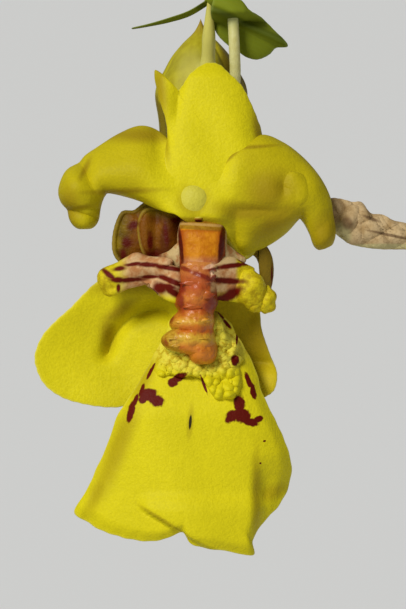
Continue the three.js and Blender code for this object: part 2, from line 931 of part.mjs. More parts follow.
// The lip: a claw behind the callus, two arms, the broad middle lobe, and its warts
function lipSolid(warty) {
  const claw = new THREE.BoxGeometry(2.5, 0.7, 3.0);
  claw.translate(0.15, -0.75, -3.1);
  const solids = [solidOf(claw)];
  if (warty) {
    solids.push(bladeSolid(LIP_MIDLOBE, 3), bladeSolid(LIP_ARM_LEFT, 1));
    solids.push(strapSolid(LIP_ARM_RIGHT, 3, 4));
    for (const { at, size } of LIP_LUMPS) solids.push(ball(at, size, 1));
    for (const [x, z] of WARTS)
      solids.push(ball([x, LIP_MIDLOBE.depth(x, z) - 0.35, z], WART_SIZE));
  } else {
    solids.push(bladeSolid(LIP_MIDLOBE, 1, 13), bladeSolid(LIP_ARM_LEFT, 1, 7));
    solids.push(ball(LIP_LUMPS[0].at, LIP_LUMPS[0].size));
  }
  return union(solids);
}

// Every organ of the main bloom, each clear of those before it
function bloomOrgans() {
  const column = columnSolid(1);
  const callus = clearOf(callusSolid(14, 6), [column]);
  const lip = clearOf(lipSolid(true), [column, callus]);
  const petalLeft = clearOf(strapSolid(PETAL_LEFT, 12, 7), [column]);
  const petalRight = clearOf(strapSolid(PETAL_RIGHT, 12, 7), [column, petalLeft, lip]);
  const core = [column, lip, petalLeft, petalRight];
  const dorsal = clearOf(bladeSolid(DORSAL_SEPAL, 2), core);
  const sepalLeft = clearOf(bladeSolid(SEPAL_LEFT, 2), core);
  const sepalRight = clearOf(bladeSolid(SEPAL_RIGHT, 2), [...core, sepalLeft]);
  return { column, callus, lip, petalLeft, petalRight, dorsal, sepalLeft, sepalRight };
}

// The pieces that hang round the main bloom, in that bloom's frame
const STALK_END = [0.6, 1.7, 12.5];
const BRACT_RIGHT = {
  outline: [
    [0.55, 11.6],
    [1.1, 12.3],
    [1.9, 11.9],
    [2.5, 11.3],
    [3.1, 11.0],
    [3.6, 10.55],
    [4.45, 9.8],
    [3.8, 9.7],
    [3.5, 9.4],
    [2.9, 9.15],
    [2.4, 9.25],
    [2.0, 9.5],
    [1.4, 9.9],
    [0.9, 10.4],
    [0.65, 11.0],
  ],
  centre: [2.3, 10.6],
  depth: (x, z, r) => 2.6 - 0.5 * (1 - r) - 0.15 * (12.5 - z),
};
const BRACT_LEFT_LINE = [
  [0.6, 12.2],
  [-0.5, 11.45],
  [-2.0, 10.95],
  [-3.5, 10.7],
];
const WITHERED_BLOOM = {
  outline: [
    [6.6, 2.05],
    [7.65, 1.95],
    [8.1, 1.95],
    [8.65, 1.3],
    [9.75, 1.0],
    [11.5, 0.4],
    [12.4, 0.1],
    [12.4, -0.3],
    [11.5, -0.45],
    [10.3, -0.45],
    [9.0, -0.42],
    [7.8, -0.25],
    [7.2, 0.05],
    [6.65, 0.8],
  ],
  centre: [8.6, 0.6],
  depth: (x, z, r) => 1.9 - 0.6 * (1 - r),
};

// The right bract is a flat blade and the left one is seen on its edge
function bractSolids() {
  const half = [0.9, 1.0, 0.7, 0.15];
  const rows = BRACT_LEFT_LINE.map(([x, z], i) =>
    [-1, 0, 1].map((side) => [x, 1.7 + side * half[i], z - 0.15 * side * side]),
  );
  const left = gridSolid(offsetGrid(rows, 0.3), offsetGrid(rows, -0.3));
  const node = ball([0.8, 2.0, 12.3], [0.6, 0.75, 0.6], 1);
  return [bladeSolid(BRACT_RIGHT, 2), left, node];
}

// A bloom that has closed again: a long bud shape with a point, on its stalk
function closingBloomSolid() {
  const profile = [
    [0, -0.2],
    [1.1, 0.6],
    [2.0, 2.6],
    [2.35, 5.6],
    [2.2, 7.4],
    [1.65, 8.8],
    [0.9, 10.1],
    [0.35, 10.9],
    [0, 11.4],
  ].map(([r, z]) => new THREE.Vector2(r, z));
  const bud = new THREE.LatheGeometry(profile, 10);
  bud.rotateX(Math.PI / 2);
  bud.translate(-0.05, 5.3, 0);
  const stalk = [
    [0.45, 1.6, 11.35],
    [0.45, 2.2, 10.4],
    [0.4, 2.7, 8.6],
    [0.3, 3.4, 6.4],
  ];
  return solidOf(bud).add(tubeSolid(stalk, 0.3, 0.35, 6, 5));
}

const PEDICEL = [
  [1.6, 1.1, 11.4],
  [1.7, 1.1, 9.8],
  [1.8, 1.5, 7.8],
  [1.3, 2.35, 5.0],
  [0.6, 2.45, 3.2],
  [0, 2.2, 1.2],
];
const WITHERED_STALK = [
  [12.1, 1.4, 0.1],
  [13.4, 1.4, 4.0],
  [13.6, 1.2, 9.0],
  [11.5, 1.0, 14.5],
  [6.5, 0.8, 17.4],
  [1.9, 0.6, 17.8],
];

// Blooms on other stems are the same flower with fewer facets, as two pieces
function plainBloom() {
  const column = columnSolid(0).add(callusSolid(5, 4).translate(0, 0, 0.5));
  const foot = new THREE.BoxGeometry(1.2, 2.4, 1.3);
  foot.translate(-0.1, 0.3, -2.7);
  const tepals = union([
    lipSolid(false),
    strapSolid(PETAL_LEFT, 5, 4),
    strapSolid(PETAL_RIGHT, 5, 4),
    bladeSolid(DORSAL_SEPAL, 1, 8),
    bladeSolid(SEPAL_LEFT, 1, 8),
    bladeSolid(SEPAL_RIGHT, 1, 7),
    tubeSolid(PEDICEL.slice(0, 5), 0.35, 0.5, 4, 3),
    ball([0.1, 1.9, 0.8], [1.2, 0.9, 3.8]),
    ball([0.2, 0.8, 3.1], [0.9, 1.5, 0.7]),
    solidOf(foot),
  ]);
  return { column, tepals: clearOf(tepals, [column], 0.1) };
}

const root = new THREE.Group();
root.add(meshOf(makePot(), "pot", colours.clay));
root.add(meshOf(makeBark(), "potting_bark", colours.bark));
root.add(meshOf(makeRhizome(), "rhizome_and_roots", colours.rhizome));

const tilt = THREE.MathUtils.degToRad(-BLOOM_TILT);
function inWorld([x, y, z]) {
  return new THREE.Vector3(x, y, z)
    .applyAxisAngle(new THREE.Vector3(1, 0, 0), tilt)
    .add(new THREE.Vector3(...BLOOM_CENTRE))
    .toArray();
}

// The flower stalk leaves the first stem near its tip and comes down behind the main bloom
const stalks = [
  {
    stem: 0,
    points: [
      [58, -19, 226],
      [70, -21.5, 223],
      [78.5, -22, 214],
      inWorld([0.6, 0.6, 18.5]),
      inWorld(STALK_END),
    ],
  },
  {
    stem: 1,
    points: [
      [-27, 5, 218],
      [-40, 4, 222],
      [-50, 2, 216],
      [-52, 1, 208],
    ],
  },
  {
    stem: 2,
    points: [
      [16, 44, 188],
      [22, 56, 196],
      [26, 64, 192],
      [27, 66, 184],
    ],
  },
  {
    stem: 3,
    points: [
      [-58, -32, 148],
      [-68, -41, 153],
      [-75, -46, 147],
      [-76, -47, 139],
    ],
  },
];
STEMS.forEach((stem, k) => {
  const stalk = stalks.find((one) => one.stem === k);
  const solids = [stemSolid(stem)];
  if (stalk) solids.push(tubeSolid(stalk.points, 0.8, 0.45, 6, 8));
  if (k === 0) {
    const bracts = union(bractSolids()).rotate([-BLOOM_TILT, 0, 0]);
    solids.push(bracts.translate(BLOOM_CENTRE));
  }
  root.add(meshOf(union(solids), stem.name, colours.leaf));
});

const organs = bloomOrgans();
const bloom = new THREE.Group();
bloom.position.set(...BLOOM_CENTRE);
bloom.rotation.x = tilt;
bloom.add(meshOf(organs.column, "bloom_column", colours.column));
bloom.add(meshOf(organs.callus, "bloom_callus", colours.callus));
bloom.add(meshOf(organs.lip, "bloom_lip", colours.tepal));
bloom.add(meshOf(organs.petalLeft, "bloom_petal_left", colours.tepal));
bloom.add(meshOf(organs.petalRight, "bloom_petal_right", colours.tepal));
bloom.add(meshOf(organs.dorsal, "bloom_dorsal_sepal", colours.tepal));
bloom.add(meshOf(organs.sepalLeft, "bloom_lateral_sepal_left", colours.tepal));
bloom.add(meshOf(organs.sepalRight, "bloom_lateral_sepal_right", colours.tepal));
const pedicel = clearOf(tubeSolid(PEDICEL, 0.28, 0.5, 6, 10), Object.values(organs));
bloom.add(meshOf(pedicel, "bloom_pedicel", colours.pedicel));
bloom.add(meshOf(closingBloomSolid(), "closing_bloom", colours.tepal));
const withered = union([
  bladeSolid(WITHERED_BLOOM, 2),
  ball([8.4, 1.5, 0.8], [1.6, 0.6, 0.8], 1),
  tubeSolid(WITHERED_STALK, 0.35, 0.4, 5, 10),
]);
bloom.add(meshOf(withered, "withered_bloom", colours.dry));
root.add(bloom);

const plain = plainBloom();
const plainPlaces = [
  { name: "bloom_2", foot: stalks[1].points[3], turn: -20 },
  { name: "bloom_3", foot: stalks[2].points[3], turn: 150 },
  { name: "bloom_4", foot: stalks[3].points[3], turn: -50 },
];
for (const { name, foot, turn } of plainPlaces) {
  const whole = new THREE.Group();
  whole.rotation.z = THREE.MathUtils.degToRad(turn);
  const hang = new THREE.Vector3(...PEDICEL[0]).applyEuler(whole.rotation);
  whole.position.set(...foot).sub(hang).sub(new THREE.Vector3(0, 0, 0.6));
  whole.add(meshOf(plain.tepals, name, colours.tepal));
  whole.add(meshOf(plain.column, name + "_column", colours.column));
  root.add(whole);
}

export default root;
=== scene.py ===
import bmesh
import bpy
import numpy as np
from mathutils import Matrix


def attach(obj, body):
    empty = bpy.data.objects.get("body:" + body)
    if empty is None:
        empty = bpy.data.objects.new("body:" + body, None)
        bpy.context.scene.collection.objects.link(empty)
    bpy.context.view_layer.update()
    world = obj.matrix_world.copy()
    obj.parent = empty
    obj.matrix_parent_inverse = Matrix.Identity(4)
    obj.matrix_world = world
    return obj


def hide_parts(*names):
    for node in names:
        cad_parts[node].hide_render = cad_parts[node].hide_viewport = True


# A potted braided orchid in bloom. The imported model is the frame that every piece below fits,
# with the origin at the centre of the pot's base and +Z up. Sizes are in millimetres unless a
# line says otherwise, and become metres where a mesh is put in the scene.
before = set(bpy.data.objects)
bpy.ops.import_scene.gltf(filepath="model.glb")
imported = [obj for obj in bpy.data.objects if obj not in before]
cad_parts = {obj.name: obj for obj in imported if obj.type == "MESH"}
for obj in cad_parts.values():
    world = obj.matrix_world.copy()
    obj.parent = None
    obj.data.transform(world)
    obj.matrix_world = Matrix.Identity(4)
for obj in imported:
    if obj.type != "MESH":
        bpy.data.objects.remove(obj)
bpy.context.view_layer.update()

# Clay pot: turned from red clay and fired without glaze. The wall tapers, the rim band is
# thicker, and four holes are drilled round the middle of the floor before firing.
MM = 0.001  # a millimetre in metres
SAME_PLACE = 2e-7  # metres; points nearer to each other than this become one
NO_LENGTH = 1e-8  # metres
POT_HEIGHT = 80
POT_BASE_RADIUS = 32
POT_TOP_RADIUS = 43
POT_WALL = 4.5
POT_FLOOR = 5
POT_SIDES = 144
RIM_BAND = 18
RIM_PROUD = 3
CORNER = 1.2  # cut off each corner of the wall's profile
WORN_EDGE = 0.7
DRAIN_HOLES = 4
DRAIN_RADIUS = 4
DRAIN_RING = 17  # from the pot's middle to a hole's


def grid_faces(rows, columns, wrap):
    """Four corners of each cell of a grid of points; wrap joins the last column to the first."""
    across = np.arange(columns if wrap else columns - 1)
    i, j = np.meshgrid(np.arange(rows - 1) * columns, across, indexing="ij")
    k = (j + 1) % columns
    return np.stack([i + j, i + k, i + columns + k, i + columns + j], -1).reshape(-1, 4)


def outward(points, faces):
    """Turns all the faces over if the volume they enclose, summed from the origin, is negative."""
    a, b, c, d = (points[faces[:, n]] for n in range(4))
    volume = np.einsum("ij,ij->", a, np.cross(b, c)) + np.einsum("ij,ij->", a, np.cross(c, d))
    return faces[:, ::-1] if volume < 0 else faces


def put(name, points, faces, finish, slot, nodes, marks=None, smooth=True):
    """A mesh from points in millimetres, merged where they coincide, on the plant's one body."""
    mesh = bpy.data.meshes.new(name)
    mesh.from_pydata((points * MM).tolist(), [], faces.tolist())
    for label, values in (marks or {}).items():
        layer = mesh.attributes.new(label, "FLOAT_VECTOR", "POINT")
        layer.data.foreach_set("vector", np.ascontiguousarray(values, dtype=np.float32).ravel())
    cleaner = bmesh.new()
    cleaner.from_mesh(mesh)
    bmesh.ops.remove_doubles(cleaner, verts=cleaner.verts, dist=SAME_PLACE)
    bmesh.ops.dissolve_degenerate(cleaner, edges=cleaner.edges, dist=NO_LENGTH)
    cleaner.to_mesh(mesh)
    cleaner.free()
    mesh.polygons.foreach_set("use_smooth", np.full(len(mesh.polygons), smooth))
    mesh.materials.append(finish)
    piece = bpy.data.objects.new(name, mesh)
    bpy.context.collection.objects.link(piece)
    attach(piece, "root")
    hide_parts(*nodes)
    return piece


def lathe(profile, sides):
    """Each profile point (radius, height) carried round the Z axis; ends on the axis close it."""
    angle = np.linspace(0, 2 * np.pi, sides, endpoint=False)
    radius, height = np.asarray(profile, float).T
    ring = np.stack([np.cos(angle), np.sin(angle), np.zeros(sides)], -1)
    points = radius[:, None, None] * ring + height[:, None, None] * np.array([0, 0, 1])
    faces = grid_faces(len(profile), sides, wrap=True)
    points = points.reshape(-1, 3)
    return points, outward(points, faces)


class Shade:
    """An output of a material's nodes. Sums made with it add the nodes that work them out."""

    def __init__(self, tree, socket=None):
        self.tree = tree
        self.socket = socket

    def node(self, kind, settings=None, values=None, out=0):
        """A node of that kind: its settings first, then the values or links of its sockets."""
        made = self.tree.nodes.new(kind)
        for name, setting in (settings or {}).items():
            if name == "stops":
                ramp = made.color_ramp
                while len(ramp.elements) < len(setting):
                    ramp.elements.new(0.5)
                for element, (position, colour) in zip(ramp.elements, setting):
                    element.position = position
                    element.color = (*colour, 1)
            else:
                setattr(made, name, setting)
        for name, value in (values or {}).items():
            if isinstance(value, Shade):
                self.tree.links.new(value.socket, made.inputs[name])
            else:
                made.inputs[name].default_value = value
        return Shade(self.tree, made.outputs[out])

    def maths(self, operation, first, second):
        """A Math node on two numbers or Shades."""
        return self.node("ShaderNodeMath", {"operation": operation}, {0: first, 1: second})

    def __add__(self, other):
        return self.maths("ADD", self, other)

    __radd__ = __add__

    def __sub__(self, other):
        return self.maths("SUBTRACT", self, other)

    def __rsub__(self, other):
        return self.maths("SUBTRACT", other, self)

    def __mul__(self, other):
        return self.maths("MULTIPLY", self, other)

    __rmul__ = __mul__

    def __abs__(self):
        return self.maths("ABSOLUTE", self, 0.0)

    def sine(self):
        """The sine of this, in radians."""
        return self.maths("SINE", self, 0.0)

    def larger(self, other):
        """The larger of the two at each place."""
        return self.maths("MAXIMUM", self, other)

    def between(self, low, high):
        """0 below low and 1 above high, smooth between; low may be the larger of the two."""
        return self.node("ShaderNodeMapRange", {"interpolation_type": "SMOOTHSTEP"},
                         {"Value": self, "From Min": low, "From Max": high})

    def blend(self, first, second):
        """The first colour where this is 0 and the second where it is 1."""
        values = {0: self}
        for index, colour in ((6, first), (7, second)):
            values[index] = colour if isinstance(colour, Shade) else (*colour, 1)
        return self.node("ShaderNodeMix", {"data_type": "RGBA"}, values, out=2)

    def noise(self, scale, detail=3.0, rough=0.5):
        """Cloudy noise, about 0.5 on average, with that many waves to each unit of this vector."""
        return self.node("ShaderNodeTexNoise", {},
                         {"Vector": self, "Scale": scale, "Detail": detail, "Roughness": rough})

    def object_place(self):
        """Object coordinates, in metres."""
        return self.node("ShaderNodeTexCoord", out=3)

    def attribute(self, name):
        """The three numbers that the mesh keeps at each point under that name."""
        return self.node("ShaderNodeAttribute", {"attribute_name": name}, out=1)

    def parts(self):
        """The three numbers of this vector, one by one."""
        split = self.node("ShaderNodeSeparateXYZ", {}, {0: self})
        node = split.socket.node
        return [Shade(self.tree, node.outputs[n]) for n in range(3)]

    def feed(self, skin, socket):
        """Links this to a socket of a shader."""
        self.tree.links.new(self.socket, skin.inputs[socket])


def new_finish(name, **plain):
    """A material, its first Shade, and its Principled shader with plain numbers on its sockets."""
    finish = bpy.data.materials.new(name)
    finish.use_nodes = True
    skin = finish.node_tree.nodes["Principled BSDF"]
    for socket, value in plain.items():
        skin.inputs[socket.replace("_", " ")].default_value = value
    return finish, Shade(finish.node_tree), skin


def roughen(height, skin, strength, depth):
    """Feeds a height, in metres times depth, to the shader's normal."""
    values = {"Strength": strength, "Distance": depth, "Height": height}
    height.node("ShaderNodeBump", {}, values).feed(skin, "Normal")


def clay_finish():
    """Red clay: cloudy tone, and a pale lime bloom that has seeped out, more of it low down."""
    finish, start, skin = new_finish("terracotta", Roughness=0.86)
    place = start.object_place()
    tone = place.noise(28.0, 4.0)
    fine = place.noise(900.0, 4.0, 0.7)
    height = place.parts()[2]
    lime = (place.noise(45.0, 5.0, 0.65) + height.between(0.03, 0.0) * 0.16).between(0.56, 0.74)
    clay = tone.between(0.3, 0.7).blend((0.40, 0.135, 0.062), (0.53, 0.21, 0.105))
    speckled = fine.between(0.62, 0.72).blend(clay, (0.33, 0.12, 0.06))
    (lime * 0.55).blend(speckled, (0.66, 0.52, 0.42)).feed(skin, "Base Color")
    roughen(fine + (height * 2600.0).sine() * 0.12, skin, 0.35, 0.0004)
    return finish


def pot_radius(z):
    """The wall's outer radius, which grows evenly with the height."""
    return POT_BASE_RADIUS + (POT_TOP_RADIUS - POT_BASE_RADIUS) * z / POT_HEIGHT


band = POT_HEIGHT - RIM_BAND
rim_radius = POT_TOP_RADIUS + RIM_PROUD
rim_corner = POT_HEIGHT - CORNER
pot_profile = [
    (0, 0), (POT_BASE_RADIUS - CORNER, 0), (POT_BASE_RADIUS, CORNER), (pot_radius(band), band),
    (pot_radius(band) + RIM_PROUD, band + CORNER), (rim_radius, rim_corner),
    (rim_radius - CORNER, POT_HEIGHT), (pot_radius(POT_HEIGHT) - POT_WALL + CORNER, POT_HEIGHT),
    (pot_radius(rim_corner) - POT_WALL, rim_corner),
    (pot_radius(POT_FLOOR) - POT_WALL, POT_FLOOR), (0, POT_FLOOR)]
pot = put("pot", *lathe(pot_profile, POT_SIDES), clay_finish(), "terracotta", ["pot"])
drill_points, drill_faces = lathe([(0, -4), (DRAIN_RADIUS, -4), (DRAIN_RADIUS, 9), (0, 9)], 40)
for hole in range(DRAIN_HOLES):
    turn = hole * 2 * np.pi / DRAIN_HOLES
    middle = np.array([np.cos(turn), np.sin(turn), 0]) * DRAIN_RING
    drill_mesh = bpy.data.meshes.new("drill")
    drill_mesh.from_pydata(((drill_points + middle) * MM).tolist(), [], drill_faces.tolist())
    drill_mesh.validate()
    drill = bpy.data.objects.new("drill", drill_mesh)
    bpy.context.collection.objects.link(drill)
    cut = pot.modifiers.new("hole", "BOOLEAN")
    cut.object = drill
    cut.operation = "DIFFERENCE"
    bpy.context.view_layer.objects.active = pot
    bpy.ops.object.modifier_apply(modifier=cut.name)
    bpy.data.objects.remove(drill)
edge = pot.modifiers.new("worn_edges", "BEVEL")
edge.width = WORN_EDGE * MM
edge.segments = 3
edge.limit_method = "ANGLE"
edge.angle_limit = np.radians(25)
edge.harden_normals = True

# Potting bark: broken conifer bark, packed loosely to just under the rim. Each chip is a
# rounded slab, and they lie flat or tipped round the rhizome.
BARK_TOP = 72
CHIPS = 420
CHIP_RINGS = 6
CHIP_SIDES = 9
CHIP_SQUARENESS = 0.55  # power of the sines: 1 gives an egg shape, and 0 a box
CHIP_UNEVEN = 0.16
CHIP_REACH = 35.2  # from the pot's middle to the farthest chip's
NEAR_RHIZOME = 6  # chips nearer to it than this are smaller and lie lower
BED_GAP = 0.4  # between the bed and the pot
BED_DROP = 1.5  # the solid bed's top is this far under the bark's
OWN_STEP = 20  # moves the pattern on from chip to chip, so that no two are alike
RHIZOME_BRANCHES = [
    [(-21, 2), (-12, -4), (-3, 1), (9, -3), (17, 4)],
    [(-3, 1), (-7, 12)],
    [(-3, 1), (3, 9)],
    [(4, -1), (3, -11)],
]
RHIZOME_RADIUS = 2.6
RHIZOME_Z = BARK_TOP + 0.35 + RHIZOME_RADIUS


def spline(rows, t, closed=False):
    """Uniform Catmull-Rom curve through the rows, at every t from 0 to 1."""
    rows = np.asarray(rows, float)
    t = np.asarray(t, float)
    spans = len(rows) if closed else len(rows) - 1
    at = np.clip(t.ravel(), 0, 1) * spans
    i = np.minimum(at.astype(int), spans - 1)
    f = (at - i)[:, None]

    def row(k):
        """The row k places on from each span's own."""
        return rows[(i + k) % len(rows)] if closed else rows[np.clip(i + k, 0, len(rows) - 1)]

    a, b, c, d = row(-1), row(0), row(1), row(2)
    square, cube = 2 * a - 5 * b + 4 * c - d, 3 * b - a - 3 * c + d
    curve = b + 0.5 * ((c - a) * f + square * f**2 + cube * f**3)
    return curve.reshape(t.shape + (rows.shape[1],))


def turning(angles):
    """Rotation matrices for rows of angles about X, then Y, then Z."""
    (cx, cy, cz), (sx, sy, sz) = np.cos(angles).T, np.sin(angles).T
    return np.stack([
        np.stack([cy * cz, sx * sy * cz - cx * sz, cx * sy * cz + sx * sz], -1),
        np.stack([cy * sz, sx * sy * sz + cx * cz, cx * sy * sz - sx * cz], -1),
        np.stack([-sy, sx * cy, cx * cy], -1),
    ], -2)


def lumps(count, rings, sides, square):
    """A unit ball for each copy: latitude by longitude, with sines raised to a power under 1 so
    that the ball squares up. The grid is count by rings by sides."""
    down = np.linspace(0, np.pi, rings)[:, None]
    round_ = np.linspace(0, 2 * np.pi, sides, endpoint=False)[None, :]

    def power(x):
        """The size of x raised to the power, with the sign of x."""
        return np.sign(x) * np.abs(x) ** square

    ball = np.stack([
        power(np.sin(down)) * power(np.cos(round_)),
        power(np.sin(down)) * power(np.sin(round_)),
        power(np.cos(down)) * np.ones_like(round_),
    ], -1)
    return np.broadcast_to(ball, (count, rings, sides, 3)).copy()


def copies_faces(count, rows, columns, wrap):
    """The faces of one grid, repeated for each of count grids that follow one another."""
    one = grid_faces(rows, columns, wrap)
    return (one[None] + (np.arange(count) * rows * columns)[:, None, None]).reshape(-1, 4)


def joined(meshes):
    """Several (points, faces) as one, each mesh's faces counted on from
    the points before it."""
    points = np.concatenate([mesh[0] for mesh in meshes])
    starts = np.cumsum([0] + [len(mesh[0]) for mesh in meshes[:-1]])
    return points, np.concatenate([mesh[1] + start for mesh, start in zip(meshes, starts)])


def bark_finish():
    """Bark: chips from rust brown to nearly black, some of them grey, with layers that run along
    each chip and show tan where they have flaked."""
    finish, start, skin = new_finish("bark", Roughness=0.88)
    dark, grey, _ = start.attribute("chip").parts()
    own = start.attribute("own")
    along = own.node("ShaderNodeMapping", {}, {"Vector": own, "Scale": (0.3, 0.6, 2.4)})
    layers = along.noise(1.3, 5.0, 0.6)
    grain = start.object_place().noise(700.0, 4.0, 0.65)
    brown = grey.between(0.2, 1.0).blend((0.26, 0.105, 0.042), (0.20, 0.125, 0.075))
    brown = dark.between(0.0, 0.9).blend((0.05, 0.022, 0.012), brown)
    brown = layers.between(0.5, 0.36).blend(brown, (0.035, 0.017, 0.010))
    flaked = layers.between(0.56, 0.68) * grain.between(0.4, 0.6) * 0.8
    flaked.blend(brown, (0.40, 0.235, 0.12)).feed(skin, "Base Color")
    roughen(grain * 0.5 + layers * 1.5, skin, 0.8, 0.0012)
    return finish


rng = np.random.default_rng(11)
walk = np.concatenate([spline(branch, np.linspace(0, 1, 30)) for branch in RHIZOME_BRANCHES])
reach = CHIP_REACH * np.sqrt(rng.random(CHIPS))
heading = 2 * np.pi * rng.random(CHIPS)
chip_xy = np.stack([reach * np.cos(heading), reach * np.sin(heading)], -1)
near = np.linalg.norm(chip_xy[:, None] - walk[None], axis=-1).min(axis=1)
chip_size = np.stack([
    rng.uniform(3.0, 6.5, CHIPS), rng.uniform(2.2, 4.0, CHIPS), rng.uniform(1.0, 2.0, CHIPS)], -1)
chip_size *= np.where(near < NEAR_RHIZOME, 0.7, 1.0)[:, None]
chip_lift = np.where(
    near < NEAR_RHIZOME, rng.uniform(-1.5, 0.4, CHIPS), rng.uniform(-1.5, 2.8, CHIPS))
chip_turn = np.stack([
    rng.normal(0, 0.35, CHIPS), rng.normal(0, 0.35, CHIPS), 2 * np.pi * rng.random(CHIPS)], -1)
chips = lumps(CHIPS, CHIP_RINGS, CHIP_SIDES, CHIP_SQUARENESS)
wobble = 1 + CHIP_UNEVEN * rng.normal(size=(CHIPS, CHIP_RINGS, CHIP_SIDES, 1))
wobble[:, [0, -1]] = 1
chip_own = chips * wobble * chip_size[:, None, None, :]
chips = np.einsum("nij,nrsj->nrsi", turning(chip_turn), chip_own)
inner_wall = pot_radius(BARK_TOP) - POT_WALL - 0.3
chip_xy *= np.minimum(1, (inner_wall - chip_size[:, 0]) / np.maximum(reach, 1e-6))[:, None]
chips += np.concatenate([chip_xy, (BARK_TOP + chip_lift)[:, None]], axis=1)[:, None, None, :]
chip_tint = np.broadcast_to(rng.random((CHIPS, 1, 1, 3)) ** [1.3, 1, 1], chips.shape)
bed_top = BARK_TOP - BED_DROP
bed = lathe([
    (0, POT_FLOOR + BED_GAP), (pot_radius(POT_FLOOR) - POT_WALL - BED_GAP, POT_FLOOR + BED_GAP),
    (pot_radius(BARK_TOP) - POT_WALL - BED_GAP, bed_top), (0, bed_top)], 72)
chip_faces = copies_faces(CHIPS, CHIP_RINGS, CHIP_SIDES, wrap=True)
chip_points = chips.reshape(-1, 3)
bark = joined([bed, (chip_points, outward(chip_points, chip_faces))])
chip_own = chip_own + OWN_STEP * np.arange(CHIPS)[:, None, None, None]
bark_marks = {
    "chip": np.concatenate([np.zeros_like(bed[0]), chip_tint.reshape(-1, 3)]),
    "own": np.concatenate([bed[0], chip_own.reshape(-1, 3)])}
put("potting_bark", *bark, bark_finish(), "bark", ["potting_bark"], bark_marks)

# Rhizome and roots: a creeping stem with the scars of old sheaths, half sunk in the bark, and
# corky roots that dive into it. The leafy stems rise from it on short feet.
# each root: x and y of its start, and its heading in degrees
ROOTS = [(-17, -1, 215), (-8, 5, 150), (-5, -2, 265), (3, 5, 60), (6, -5, 300), (13, 0, 10)]
ROOT_DEPTH = 34
STEM_FEET = [(9, -3), (-3, 1), (3, 9), (-12, -4), (-7, 12), (3, -11), (17, 4), (-21, 2)]


def tube(path, radius, sides, steps, helper=(0, 0, 1)):
    """A circle carried along a spline through the path's points, at right angles to it. radius is
    a function of the share of the way; the first and last rings shrink to a point."""
    share = np.linspace(0, 1, steps)
    centre = spline(path, share)
    along = spline(path, share + 1e-3) - spline(path, share - 1e-3)
    along /= np.linalg.norm(along, axis=1, keepdims=True)
    side = np.cross(np.asarray(helper, float), along)
    side /= np.linalg.norm(side, axis=1, keepdims=True)
    other = np.cross(along, side)
    angle = np.linspace(0, 2 * np.pi, sides, endpoint=False)
    width = radius(share)
    cosine, sine = np.cos(angle)[None, :, None], np.sin(angle)[None, :, None]
    ring = side[:, None] * cosine + other[:, None] * sine
    body = centre[:, None] + ring * width[:, None, None]
    ends = [np.repeat(centre[[k]][:, None], sides, axis=1) for k in (0, -1)]
    points = np.concatenate([ends[0], body, ends[1]]).reshape(-1, 3)
    return points, outward(points, grid_faces(steps + 2, sides, wrap=True))


def rhizome_finish():
    """Dry sheath skin over a green-brown stem, with fibres and patches."""
    finish, start, skin = new_finish("rhizome", Roughness=0.75)
    place = start.object_place()
    fibre = place.noise(420.0, 5.0, 0.7)
    patch = place.noise(140.0, 2.0)
    skin_tone = patch.between(0.4, 0.62).blend((0.20, 0.15, 0.06), (0.30, 0.27, 0.12))
    fibre.between(0.4, 0.7).blend(skin_tone, (0.36, 0.29, 0.17)).feed(skin, "Base Color")
    roughen(fibre, skin, 0.6, 0.0006)
    return finish


def root_path(x, y, heading):
    """Four points down from the rhizome, which drift further and further along the heading."""
    dx, dy = np.cos(np.radians(heading)), np.sin(np.radians(heading))
    drifts = [(0, RHIZOME_Z), (0.5, BARK_TOP - 8), (3, BARK_TOP - 20), (8, BARK_TOP - ROOT_DEPTH)]
    return [(x + drift * dx, y + drift * dy, z) for drift, z in drifts]


def segments(count):
    """The radius along a piece of rhizome that swells between its scars, one hump for each."""
    return lambda s: RHIZOME_RADIUS * (0.9 + 0.12 * np.abs(np.sin(count * np.pi * s)))


rhizome = []
for branch in RHIZOME_BRANCHES:
    path = [(x, y, RHIZOME_Z) for x, y in branch]
    rhizome.append(tube(path, segments(9 if len(branch) > 2 else 3), 20, 60))
for x, y in STEM_FEET:
    path = [(x, y, RHIZOME_Z - 1), (x, y, RHIZOME_Z + 4.2)]
    rhizome.append(tube(path, lambda s: 2.3 - 0.7 * s, 16, 8, (1, 0, 0)))
for root in ROOTS:
    rhizome.append(tube(root_path(*root), lambda s: 1.1 - 0.4 * s, 12, 20, (1, 0, 0)))
put("rhizome_and_roots", *joined(rhizome), rhizome_finish(), "rhizome", ["rhizome_and_roots"])

# Leafy stems: each is a thin stem hidden in two rows of folded leaves. Every leaf clasps the
# stem with its sheath, over the younger leaf above, so that the shoot looks like a flat braid.
STEM_FOOT = RHIZOME_Z + RHIZOME_RADIUS + 0.35
LEAF_LENGTH = 26
NODE_SPACING = 4.2
STEM_RADIUS = 1.3
STEMS = [
    ([(9, -3, STEM_FOOT), (12, -4, 150), (26, -12, 232), (66, -20, 224)], (0, -1, 0)),
    ([(-3, 1, STEM_FOOT), (-6, 2, 125), (-14, 4, 190), (-34, 6, 222)], (0.3, -0.95, 0)),
    ([(3, 9, STEM_FOOT), (4, 14, 120), (10, 30, 170), (20, 50, 196)], (0.9, -0.3, 0)),
    ([(-12, -4, STEM_FOOT), (-20, -10, 112), (-44, -24, 152), (-68, -38, 150)], (0.5, -0.85, 0)),
    ([(-7, 12, STEM_FOOT), (-16, 22, 115), (-34, 44, 158), (-50, 62, 160)], (0.75, 0.65, 0)),
    ([(3, -11, STEM_FOOT), (6, -22, 108), (10, -44, 140), (16, -66, 140)], (-0.9, -0.2, 0.2)),
    ([(17, 4, STEM_FOOT), (22, 10, 108), (34, 24, 142), (42, 42, 158)], (-0.7, 0.7, 0)),
    ([(-21, 2, STEM_FOOT), (-25, 2, 92), (-31, 0, 104), (-37, -2, 112)], (0, -1, 0)),
]
